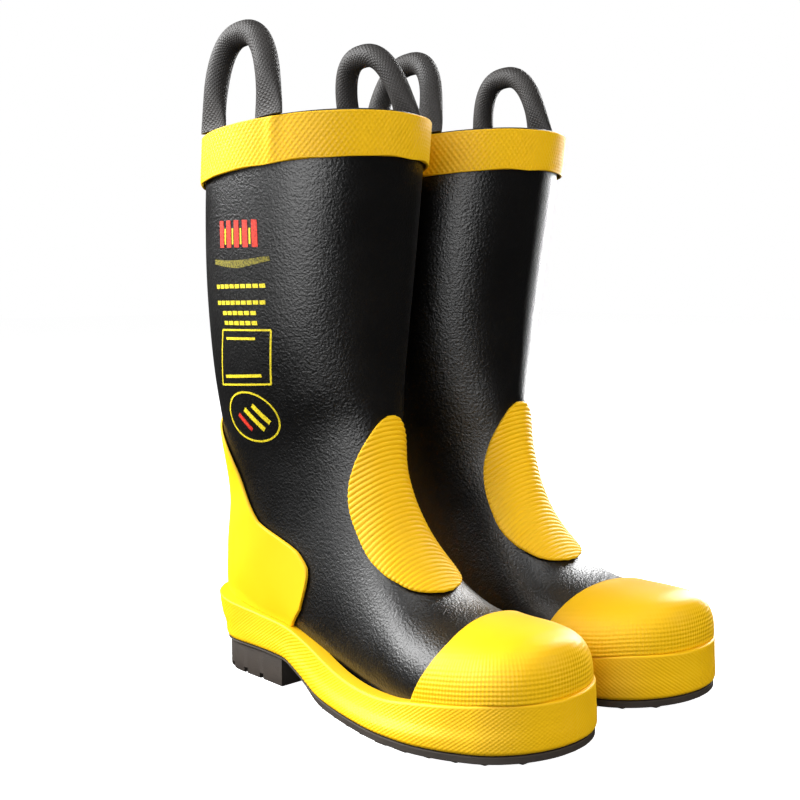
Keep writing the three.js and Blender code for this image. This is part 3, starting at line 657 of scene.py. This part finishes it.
def cushionedSheet(s, angle, wrap=False):  # a patch on the rubber with rounded edges
    flat = offsetPoint(s, angle, patches["outer"])
    rounded = roundEdge(edgeDistance(flat, wrap), patches["radius"])
    outer = offsetPoint(s, angle, patches["inner"] + (patches["outer"] - patches["inner"]) * rounded)
    inner = offsetPoint(s, angle, np.full(s.shape, patches["inner"]))
    return outer, inner, rounded


cap = {
    "rows": 110, "columns": 200, "centreU": 236, "centreV": -4, "radius": 52, "ribsFade": (10, 34),
    "edge": [[-180, 4.9], [-90, 4.66], [-56, 4.33], [-38, 4.18], [-20, 4.1], [0, 4.06], [14, 3.99],
             [28, 3.9], [42, 3.86], [60, 3.96], [75, 4.13], [96, 4.35], [180, 4.6]],
}


def toeCap(name, side):
    angle = np.linspace(-math.pi, math.pi, cap["columns"], endpoint=False)
    reach = 1 - (1 - np.linspace(0, 1, cap["rows"])) ** 1.25
    edge = through(cap["edge"])(np.degrees(angle))
    s = reach[:, None] * edge[None, :]
    outer, inner, rounded = cushionedSheet(s, np.broadcast_to(angle, s.shape), wrap=True)
    above = outer[..., 2] - bandTop(outer[..., 0])
    share = rounded * (1 - smoothstep(above, *cap["ribsFade"]))
    around = cap["radius"] * np.arctan2(outer[..., 1] - cap["centreV"], outer[..., 0] - cap["centreU"])
    around = np.column_stack([around, around[:, 0]])
    grids = [patch(outer, True, around, above, share), patch(inner, True, around, above, 0.0)]
    piece = makeMesh(f"{name}_toe_bumper", grids, side)
    trimBelowBand(piece, side)
    return finishPiece(piece, capRubber, "yellow_rubber", f"{name}_boot", f"{name}_toe_cap", sharp=50)


guard = {
    "from": 5.3, "span": 6.4, "rows": 430, "columns": 44,
    "pitch": 3.1, "angle": 90, "crossing": 0.0, "depth": 0.6,
    "halfAngle": [[5.3, 5], [5.45, 16], [5.75, 26], [6.2, 33], [6.6, 38], [7.3, 42], [8.4, 41],
                  [9.4, 38], [10.15, 34], [10.8, 28], [11.4, 16.5], [11.6, 10], [11.7, 4]],
}


def shinGuard(name, side):
    s = (guard["from"] + guard["span"] * denseEnds(guard["rows"], 1.15))[:, None]
    half = np.radians(through(guard["halfAngle"])(s))
    angle = half * (2 * denseEnds(guard["columns"]) - 1)
    s = np.broadcast_to(s, angle.shape)
    outer, inner, rounded = cushionedSheet(s, angle)
    up = runLength(outer[:, guard["columns"] // 2])[:, None]
    grids = [patch(outer, False, None, up, np.sqrt(rounded)), patch(inner, False, None, up, 0.0)]
    piece = makeMesh(f"{name}_ribbed_guard", grids, side)
    raiseRidges(piece, yellowRubber, guard)
    return finishPiece(piece, yellowRubber, "yellow_rubber", f"{name}_boot", f"{name}_shin_guard", sharp=60)


counter = {
    "from": 8.05, "span": 5.55, "rows": 90, "columns": 110, "medialShare": 0.88,
    "halfAngle": [[8.05, 90], [8.2, 99], [8.4, 106], [8.65, 109], [9.25, 109], [10.1, 102],
                  [11.1, 84], [11.8, 71.5], [12.7, 57], [13.05, 48], [13.4, 30], [13.6, 8]],
}


def heelCounter(name, side):
    s = (counter["from"] + counter["span"] * denseEnds(counter["rows"], 1.3))[:, None]
    half = np.radians(through(counter["halfAngle"])(s))
    turn = 2 * denseEnds(counter["columns"]) - 1
    angle = math.pi + half * turn * np.where(turn > 0, counter["medialShare"], 1)
    s = np.broadcast_to(s, angle.shape)
    outer, inner, _ = cushionedSheet(s, angle)
    piece = makeMesh(f"{name}_heel_stiffener", [patch(outer), patch(inner)], side)
    trimBelowBand(piece, side)
    return finishPiece(piece, yellowRubber, "yellow_rubber", f"{name}_boot", f"{name}_heel_counter", sharp=50)


band = {
    "faceRows": 60, "edge": 1.2, "insideRows": 6, "innerReach": 9, "pitch": 1.9, "angle": -55,
    "crossing": 0.6, "depth": 0.36, "foot": 3,
}


def foxingBand(name, side):
    b = band
    base = soleBottom(ringPoints[:, 0]) + sole["rimThickness"] + sole["bandGap"]
    crest = bandTop(ringPoints[:, 0])
    lean = through([[0, 0], [0.3, 0.12], [0.55, 0.6], [1, 1]])
    rows, up, share = [], [], []

    def addRow(height, inset, relief):
        flat = ringPoints - ringNormals * inset[:, None]
        rows.append(np.column_stack([flat, height]))
        up.append(height - base)
        share.append(np.full(len(flat), relief))

    for turn in np.linspace(math.pi / 2, 0, 8)[:-1]:
        addRow(base + b["foot"] * (1 - math.sin(turn)), np.full(len(base), b["foot"] * (1 - math.cos(turn))),
               1 - float(smoothstep(turn, 0.3, 1.2)))
    for t in np.linspace(0, 1, b["faceRows"]):
        height = base + b["foot"] + t * (crest - base - b["foot"] - b["edge"])
        tall = (height - base) / (crest - base)
        addRow(height, lean(tall) * ringTopInset, 1.0 if t < 0.97 else 0.3)
    for turn in np.linspace(0, math.pi / 2, 5)[1:]:
        addRow(crest - b["edge"] * (1 - math.sin(turn)), ringTopInset + b["edge"] * (1 - math.cos(turn)), 0.0)
    for t in np.linspace(0, 1, b["insideRows"]):
        addRow(crest + t * (base - crest), ringTopInset + b["innerReach"] * (1 - 0.4 * t), 0.0)
    points = np.array(rows + rows[:1])
    up, share = np.array(up + up[:1]), np.array(share + share[:1])
    around = runLength(np.vstack([ringPoints, ringPoints[:1]]))
    wave = b["pitch"] / math.cos(math.radians(b["angle"]))  # the ridges close up round the sole
    around *= round(around[-1] / wave) * wave / around[-1]
    piece = makeMesh(f"{name}_foxing", [patch(points, True, around, up, share)], side)
    raiseRidges(piece, yellowRubber, b)
    return finishPiece(piece, yellowRubber, "yellow_rubber", f"{name}_boot", f"{name}_foxing_band", sharp=60)


def stackedSlab(levels, across=24):  # rings of equal length one above the other, closed across at both ends
    half = len(levels[0]) // 2
    walls = patch(np.array(levels), True)
    ends = []
    for ring in (levels[0], levels[-1]):
        left, right = ring[:half + 1], np.vstack([ring[:1], ring[:half - 1:-1]])
        t = np.linspace(0, 1, across)[None, :, None]
        ends.append(patch(left[:, None] * (1 - t) + right[:, None] * t))
    return [walls] + ends


tread = {
    "lugLength": 10.5, "lugPitch": 15.5, "firstU": 137, "rows": 10, "depth": 3.8, "inset": 1.5, "fill": 2.9,
    "root": 1,
    "split": [(-1, -0.4), (-0.3, 0.3), (0.4, 1)],
}


def cleatTree():  # one bevelled block at each point, sized by the point's own numbers
    tree = bpy.data.node_groups.new("cleats", "GeometryNodeTree")
    tree.interface.new_socket("Geometry", in_out="INPUT", socket_type="NodeSocketGeometry")
    block = tree.interface.new_socket("Block", in_out="INPUT", socket_type="NodeSocketObject")
    finish = tree.interface.new_socket("Material", in_out="INPUT", socket_type="NodeSocketMaterial")
    tree.interface.new_socket("Geometry", in_out="OUTPUT", socket_type="NodeSocketGeometry")
    given = addNode(tree, "NodeGroupInput").outputs
    size, tilt = (addNode(tree, "GeometryNodeInputNamedAttribute", {"Name": label},
                          data_type="FLOAT_VECTOR").outputs[0] for label in ("blockSize", "blockTilt"))
    shape = addNode(tree, "GeometryNodeObjectInfo", {"Object": given["Block"]}).outputs["Geometry"]
    placed = addNode(tree, "GeometryNodeInstanceOnPoints",
                     {"Points": given["Geometry"], "Instance": shape, "Rotation": tilt, "Scale": size})
    closeTree(tree, placed.outputs[0], given["Material"])
    return tree, block.identifier, finish.identifier


def bevelledBlock():
    mesh = bpy.data.meshes.new("block")
    work = bmesh.new()
    bmesh.ops.create_cube(work, size=1)
    bmesh.ops.bevel(work, geom=work.edges, offset=0.07, segments=2, affect="EDGES", profile=0.5)
    work.to_mesh(mesh)
    work.free()
    block = bpy.data.objects.new("block", mesh)
    bpy.context.scene.collection.objects.link(block)
    return block


def treadLugs(name, side):
    t = tread
    places, sizes, tilts = [], [], []
    for i in range(t["rows"]):
        u = t["firstU"] + i * t["lugPitch"] + t["lugLength"] / 2
        ends = [u - t["lugLength"] / 2, u + t["lugLength"] / 2]
        half = sole["samples"]
        reach = [min(np.interp(ends, ringPoints[:half + 1, 0], ringPoints[:half + 1, 1])),
                 min(np.interp(ends, ringPoints[:half - 1:-1, 0], -ringPoints[:half - 1:-1, 1]))]
        lateral, medial = reach[0] - t["inset"], reach[1] - t["inset"]
        middle, span = (lateral - medial) / 2, (lateral + medial) / 2
        low, top = float(soleBottom(u)) - t["depth"], float(soleBottom(u)) + t["root"]
        slope = math.atan2(float(soleBottom(u + 4) - soleBottom(u - 4)), 8)
        for a, b in t["split"]:
            v = middle + span * (a + b) / 2
            places.append(((side * (halfSpacing + v)) / 1000, (pairCentreU - u) / 1000, (low + top) / 2000))
            sizes.append((span * (b - a) / 1000, t["lugLength"] / 1000, (top - low) / 1000))
            tilts.append((-slope, 0, 0))
    mesh = bpy.data.meshes.new(f"{name}_tread_lugs")
    mesh.from_pydata(places, [], [])
    for label, values in (("blockSize", sizes), ("blockTilt", tilts)):
        layer = mesh.attributes.new(label, "FLOAT_VECTOR", "POINT")
        layer.data.foreach_set("vector", np.array(values, np.float32).ravel())
    piece = bpy.data.objects.new(f"{name}_tread_lugs", mesh)
    bpy.context.scene.collection.objects.link(piece)
    tree, block, finish = cleatTree()
    mould = bevelledBlock()
    modifier = piece.modifiers.new("cleats", "NODES")
    modifier.node_group = tree
    modifier[block], modifier[finish] = mould, soleRubber
    settle(piece)
    bpy.data.objects.remove(mould)
    return finishPiece(piece, soleRubber, "sole_rubber", f"{name}_boot")


def outsole(name, side):
    edge = 0.5
    thickness = sole["rimThickness"]

    def under(u):  # ahead of the heel the plate fills most of the depth between the lugs
        return soleBottom(u) - tread["fill"] * smoothstep(u, 112, 136)

    levels = [
        soleRow(sole["rimInset"] + edge, under),
        soleRow(sole["rimInset"], lambda u: under(u) + edge),
        soleRow(sole["rimInset"], lambda u: soleBottom(u) + thickness - edge),
        soleRow(sole["rimInset"] + edge, lambda u: soleBottom(u) + thickness),
        soleRow(sole["coreInset"], lambda u: soleBottom(u) + thickness),
        soleRow(sole["coreInset"], coreTop),
    ]
    piece = makeMesh(f"{name}_sole_plate", stackedSlab(levels), side)
    return finishPiece(piece, soleRubber, "sole_rubber", f"{name}_boot", f"{name}_outsole")


heel = {"length": 85, "inset": 3, "edge": 0.9, "grooves": [27, 44.5, 62], "grooveDepth": 4, "grooveWidth": 4}


def heelBlock(name, side):
    top = float(soleBottom(0)) - sole["bandGap"]
    edge = heel["edge"]

    def ring(inset, height, front):
        row = soleRow(inset, lambda u: np.full(len(u), height))
        row[:, 0] = np.minimum(row[:, 0], front)
        half = sole["samples"]
        for part in (slice(0, half + 1), slice(half, None)):  # the front face closes straight across
            cut = row[part, 0] >= front - 1e-6
            if cut.any():
                inside = row[part][~cut]
                edgeV = inside[np.argmax(inside[:, 0]), 1]
                count = int(cut.sum())
                values = np.linspace(edgeV, 0, count) if part.start == 0 else np.linspace(0, edgeV, count)
                block = row[part]
                block[cut, 1] = values
                row[part] = block
        return row

    levels = [
        ring(heel["inset"] + edge, 0, heel["length"] - edge),
        ring(heel["inset"] + edge * 0.3, edge * 0.3, heel["length"] - edge * 0.3),
        ring(heel["inset"], edge, heel["length"]),
        ring(heel["inset"], top - edge, heel["length"]),
        ring(heel["inset"] + edge * 0.5, top, heel["length"] - edge * 0.5),
    ]
    piece = makeMesh(f"{name}_heel", stackedSlab(levels, 12), side)
    for u in heel["grooves"]:
        half = heel["grooveWidth"] / 2
        low = np.array([[(u + a, v, -5) for v in (-80, 80)] for a in (-half, half)], float)
        high = low.copy()
        high[..., 2] = heel["grooveDepth"]
        cutAway(piece, closedSheet(low, high), side)
    return finishPiece(piece, soleRubber, "sole_rubber", f"{name}_boot", f"{name}_heel_block")


footbed = {
    "from": 1.1, "to": 9.3, "rows": 90, "arc": 30, "bottomGap": 1.8, "sag": 0.6,
    "reach": [[0, 62], [5, 58], [7, 48], [8.5, 38], [9.3, 35]],
}


def insole(name, side):
    f = footbed
    s = np.linspace(f["from"], f["to"], f["rows"])
    reach = np.radians(through(f["reach"])(s))
    step = smoothstep(s, sock["stepFrom"], sock["stepTo"])
    depth = sock["toeInner"] + (sock["inner"] - sock["toeInner"]) * step - f["bottomGap"]
    rows = []
    for k in range(f["rows"]):
        angle = math.pi + reach[k] * np.linspace(-1, 1, f["arc"])
        under = offsetPoint(s[k], angle, depth[k])
        t = np.linspace(1, 0, f["arc"])[1:-1, None]
        sag = f["sag"] * np.sin(math.pi * t) * [0, 0, 1]
        rows.append(np.vstack([under, under[0] * (1 - t) + under[-1] * t - sag]))
    piece = makeMesh(f"{name}_footbed", [patch(closeEnds(np.array(rows)), True)], side)
    finishPiece(piece, felt, "felt", f"{name}_loose_insole", f"{name}_insole")
    return piece


def pullLoop(name, side, which):
    outward = 1 if which == "lateral" else -1
    slope = np.array([1, loops["rimSlope"]]) / math.hypot(1, loops["rimSlope"])
    hinge = joints[f"{name}_{which}_loop_flex"]["pos_m"]
    lean = math.radians(loops["lean"][which])
    foot = np.array([loops["centreU"], 1000 * hinge[2]])

    def point(across, rise):
        u = foot[0] + across * slope[0] - rise * math.cos(lean) * slope[1]
        z = foot[1] + across * slope[1] + rise * math.cos(lean) * slope[0]
        v = loops["rimShift"] + outward * (loops["halfGauge"] - rise * math.sin(lean)) + 0 * across
        return np.stack(np.broadcast_arrays(u, v, z), -1)

    def path(turn):
        power = 2 / 2.5
        return point(-loops["halfSpan"] * signedPower(np.cos(turn), power),
                     loops["rise"] * np.abs(np.sin(turn)) ** power)

    t = np.linspace(0, 1, loops["rings"])
    turn = (t - 0.04 * np.sin(4 * math.pi * t)) * math.pi
    probe = 1e-3
    tangent = path(turn + probe) - path(turn - probe)
    straight = point(0.0, 1.0) - point(0.0, 0.0)
    tangent[0], tangent[-1] = straight, -straight
    outwards = unit(np.cross(straight, point(1.0, 0.0) - point(0.0, 0.0)))
    across = unit(np.cross(unit(tangent), outwards))
    rolled = smoothstep(np.minimum(t, 1 - t), 0, 0.2)[:, None]
    width = loops["legHalfWidth"] + (loops["gripRadius"] - loops["legHalfWidth"]) * rolled
    thick = loops["legHalfThickness"] + (loops["gripRadius"] - loops["legHalfThickness"]) * rolled
    ringTurn = np.linspace(0, 2 * math.pi, loops["around"], endpoint=False)
    power = 2 / (2.6 - 0.6 * rolled)
    c, sn = signedPower(np.cos(ringTurn), power), signedPower(np.sin(ringTurn), power)
    centre = path(turn)
    rows = centre[:, None] + across[:, None] * (width * c)[..., None] + outwards * (thick * sn)[..., None]
    length = runLength(centre)
    length = np.concatenate([length[:1], length, length[-1:]])[:, None]
    around = np.linspace(0, loops["girth"], loops["around"] + 1)
    piece = makeMesh(f"{name}_{which}_strap_loop", [patch(closeEnds(rows), True, around, length)], side)
    finishPiece(piece, strapRubber, "strap_rubber", None, f"{name}_{which}_pull_loop")
    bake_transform(piece)
    return piece


tab = {"reach": 26, "halfAngle": 36, "inner": 0.35, "outer": 1.35}


def loopTab(name, side, which):
    centre = math.pi / 2 * (1 if which == "lateral" else -1)
    s = rimSection - np.linspace(tab["reach"], 0, 14)[:, None] / rimPitch
    angle = centre + math.radians(tab["halfAngle"]) * np.linspace(-1, 1, 30)[None, :]
    s, angle = np.broadcast_arrays(s, angle)
    sheet = closedSheet(offsetPoint(s, angle, tab["outer"]), offsetPoint(s, angle, tab["inner"]))
    piece = makeMesh(f"{name}_{which}_strap_root", sheet, side)
    return finishPiece(piece, strapRubber, "strap_rubber", f"{name}_boot", f"{name}_{which}_loop_tab")


def onShaft(u, z):  # section and angle of the outer side's point at that u and z
    u, z = np.broadcast_arrays(np.asarray(u, float), np.asarray(z, float))
    s, angle = 12 + (z - 170) / 38, np.full(u.shape, math.pi / 2)
    for _ in range(30):
        at = rubberPoint(s, angle)
        step = 1e-4
        ds = (rubberPoint(s + step, angle) - at) / step
        da = (rubberPoint(s, angle + step) - at) / step
        det = ds[..., 0] * da[..., 2] - ds[..., 2] * da[..., 0]
        du, dz = u - at[..., 0], z - at[..., 2]
        s = s + np.clip((du * da[..., 2] - dz * da[..., 0]) / det, -0.5, 0.5)
        angle = angle + np.clip((dz * ds[..., 0] - du * ds[..., 2]) / det, -0.3, 0.3)
    return s, angle


inkProud, inkSunk = 0.22, -0.3


def stroke(path, width, steps=14):  # a band of ink along a path of (u, z), its width even or tapering
    path = smoothPath(np.array(path, float), steps) if len(path) > 2 else np.linspace(path[0], path[1], steps)
    run = unit(np.gradient(path, axis=0))
    beside = np.stack([-run[:, 1], run[:, 0]], 1)
    half = np.interp(np.linspace(0, 1, steps), np.linspace(0, 1, len(width)), width)[:, None] / 2
    flat = np.stack([path + beside * half * k for k in (-1, 0, 1)], 1)
    s, angle = onShaft(flat[..., 0], flat[..., 1])
    return closedSheet(offsetPoint(s, angle, inkProud), offsetPoint(s, angle, inkSunk))


def inkPiece(name, side, label, strokes, ink, slot):
    piece = makeMesh(f"{name}_{label}", [p for s in strokes for p in s], side)
    return finishPiece(piece, ink, slot, f"{name}_boot")


marks = {  # places as (u, z) on the shaft, and widths
    "bars": 5, "barStep": 8, "bar": [(61, 291), (61.6, 308)], "barWidth": 4.6,
    "gap": [(65, 293), (65.6, 303)], "gapWidth": 1.5,
    "faded": [(50, 282), (76, 280.5), (103, 284)], "fadedWidth": [3, 5, 3],
    "lines": [((50, 266), (99, 267)), ((50, 255.5), (98, 256.5)), ((56, 249), (90, 249.7)),
              ((57, 242.6), (90, 243.3))],
    "dashWidth": 2.6, "dashStep": 5.5,
    "box": [(54, 238), (99, 239), (92, 204), (43, 201)], "outline": 1.2,
    "inBox": [([(57.5, 232.5), (86, 233.2)], 1.6), ([(50, 207), (86, 209.3)], 2)],
    "ring": (69, 181), "ringHalf": (22.5, 16.5),
    "inRing": [[(72, 189), (84, 178)], [(64, 186), (78, 173)]], "inRingWidth": 3.4,
    "redBar": [(57, 182), (67, 172)], "redBarWidth": 3,
}


def dashes(start, end):  # a broken line: dashes of even length
    start, end = np.array(start), np.array(end)
    count = round((end[0] - start[0]) / marks["dashStep"])
    cuts = [((i + 0.06) / count, (i + 0.86) / count) for i in range(count)]
    return [stroke([start + (end - start) * a, start + (end - start) * b], [marks["dashWidth"]], 4)
            for a, b in cuts]


def barRow(line, width, count, steps):
    return [stroke([(u + marks["barStep"] * i, z) for u, z in line], [width], steps) for i in range(count)]


def prints(name, side):  # plain shapes only
    m = marks
    bars = barRow(m["bar"], m["barWidth"], m["bars"], 10)
    gaps = barRow(m["gap"], m["gapWidth"], m["bars"] - 1, 8)
    broken = [dash for start, end in m["lines"] for dash in dashes(start, end)]
    box = [stroke([m["box"][i], m["box"][(i + 1) % 4]], [m["outline"]], 16) for i in range(4)]
    turn = np.linspace(0, 2 * math.pi, 25)
    ring = np.array(m["ring"]) + np.array(m["ringHalf"]) * np.stack([np.cos(turn), np.sin(turn)], 1)
    inkPiece(name, side, "red_bars", bars, redInk, "print_red")
    inkPiece(name, side, "short_bars", gaps, yellowInk, "print_yellow")
    inkPiece(name, side, "faded_line", [stroke(m["faded"], m["fadedWidth"], 20)], oliveInk, "print_yellow")
    inkPiece(name, side, "plain_dashes", broken, yellowInk, "print_yellow")
    box += [stroke(line, [width]) for line, width in m["inBox"]]
    inkPiece(name, side, "box_outline", box, yellowInk, "print_yellow")
    disc = [stroke(ring, [m["outline"]], 60)] + [stroke(line, [m["inRingWidth"]], 8) for line in m["inRing"]]
    inkPiece(name, side, "ring_outline", disc, yellowInk, "print_yellow")
    inkPiece(name, side, "red_bar", [stroke(m["redBar"], [m["redBarWidth"]], 8)], redInk, "print_red")


for name, side in sides.items():
    bootShell(name, side)
    knittedSock(name, side)
    collarBand(name, side)
    toeCap(name, side)
    shinGuard(name, side)
    heelCounter(name, side)
    foxingBand(name, side)
    outsole(name, side)
    treadLugs(name, side)
    heelBlock(name, side)
    insole(name, side)
    for which in ("lateral", "medial"):
        pullLoop(name, side, which)
        loopTab(name, side, which)
    prints(name, side)
    for node in ("steel_toe_cap", "steel_midsole_plate"):
        carried = frame["nodes"][f"{name}_{node}"]
        carried.data.materials.clear()
        carried.data.materials.append(steel)
    print(name, "boot made")

studio = {
    "camera": (-0.6066, -0.5651, 0.2727), "azimuth": 44.3, "pitch": 5.74, "lens": 55.32,
    "sensor": 36, "backdrop": 1.0, "fill": 0.03, "floorSize": 14, "floorGlow": 0.96, "aim": (0, 0, 0.18),
    "lamps": {  # place, size and power
        "key": ((-1.42, -0.48, 0.7), (1.35, 1.6), 14),
        "gloss": ((-1.4, -0.5, 0.7), (1.3, 1.6), 12),
        "left": ((-1.35, 0.7, 0.7), (0.9, 1.5), 4),
        "back": ((-0.75, 1.05, 1.05), (1.4, 0.9), 38),
        "heel": ((-1.0, 1.2, 0.5), (1.2, 1.2), 32),
        "front": ((0.4, -1.5, 0.7), (0.9, 1.3), 18),
        "right": ((1.5, 0.3, 0.6), (0.5, 1.4), 34),
        "top": ((-0.1, -0.4, 1.9), (0.9, 0.9), 7),
    },
    "onlyMirrored": ["gloss"], "neverMirrored": ["heel", "front"],
}


def stageFloor():
    half = studio["floorSize"] / 2
    mesh = bpy.data.meshes.new("floor")
    corners = [(-half, -half, 0), (half, -half, 0), (half, half, 0), (-half, half, 0)]
    mesh.from_pydata(corners, [], [(0, 1, 2, 3)])
    floor = bpy.data.objects.new("floor", mesh)
    bpy.context.scene.collection.objects.link(floor)
    material, tree, shader, _ = newMaterial("white_sweep_paper", Roughness=0.9)
    shader.inputs["Base Color"].default_value = (1, 1, 1, 1)
    shader.inputs["Emission Color"].default_value = (1, 1, 1, 1)
    shader.inputs["Emission Strength"].default_value = studio["floorGlow"]
    floor.data.materials.append(material)
    floor.visible_diffuse = False  # the paper's glow stays off the boots
    floor.visible_glossy = False


def areaLight(name, place, size, power):
    data = bpy.data.lights.new(name, "AREA")
    data.shape, data.size, data.size_y, data.energy = "RECTANGLE", size[0], size[1], power
    lamp = bpy.data.objects.new(name, data)
    lamp.location = place
    lamp.rotation_euler = (Vector(studio["aim"]) - Vector(place)).to_track_quat("-Z", "Y").to_euler()
    lamp.visible_diffuse = name not in studio["onlyMirrored"]
    lamp.visible_glossy = name not in studio["neverMirrored"]
    bpy.context.scene.collection.objects.link(lamp)


def studioLight():
    world = bpy.data.worlds.new("studio")
    bpy.context.scene.world = world
    world.use_nodes = True
    tree = world.node_tree
    seen = addNode(tree, "ShaderNodeLightPath").outputs["Is Camera Ray"]
    level = addNode(tree, "ShaderNodeMapRange", {"Value": seen, 3: studio["fill"], 4: studio["backdrop"]})
    tree.links.new(level.outputs[0], tree.nodes["Background"].inputs["Strength"])
    tree.nodes["Background"].inputs["Color"].default_value = (1, 1, 1, 1)
    for name, (place, size, power) in studio["lamps"].items():
        areaLight(name, place, size, power)


def camera():
    data = bpy.data.cameras.new("camera")
    data.lens, data.sensor_width = studio["lens"], studio["sensor"]
    data.clip_start, data.clip_end = 0.02, 50
    eye = bpy.data.objects.new("camera", data)
    eye.location = studio["camera"]
    eye.rotation_euler = (math.radians(90 - studio["pitch"]), 0, -math.radians(studio["azimuth"]))
    bpy.context.scene.collection.objects.link(eye)
    bpy.context.scene.camera = eye
    bpy.context.scene.view_settings.view_transform = "Standard"


stageFloor()
studioLight()
camera()
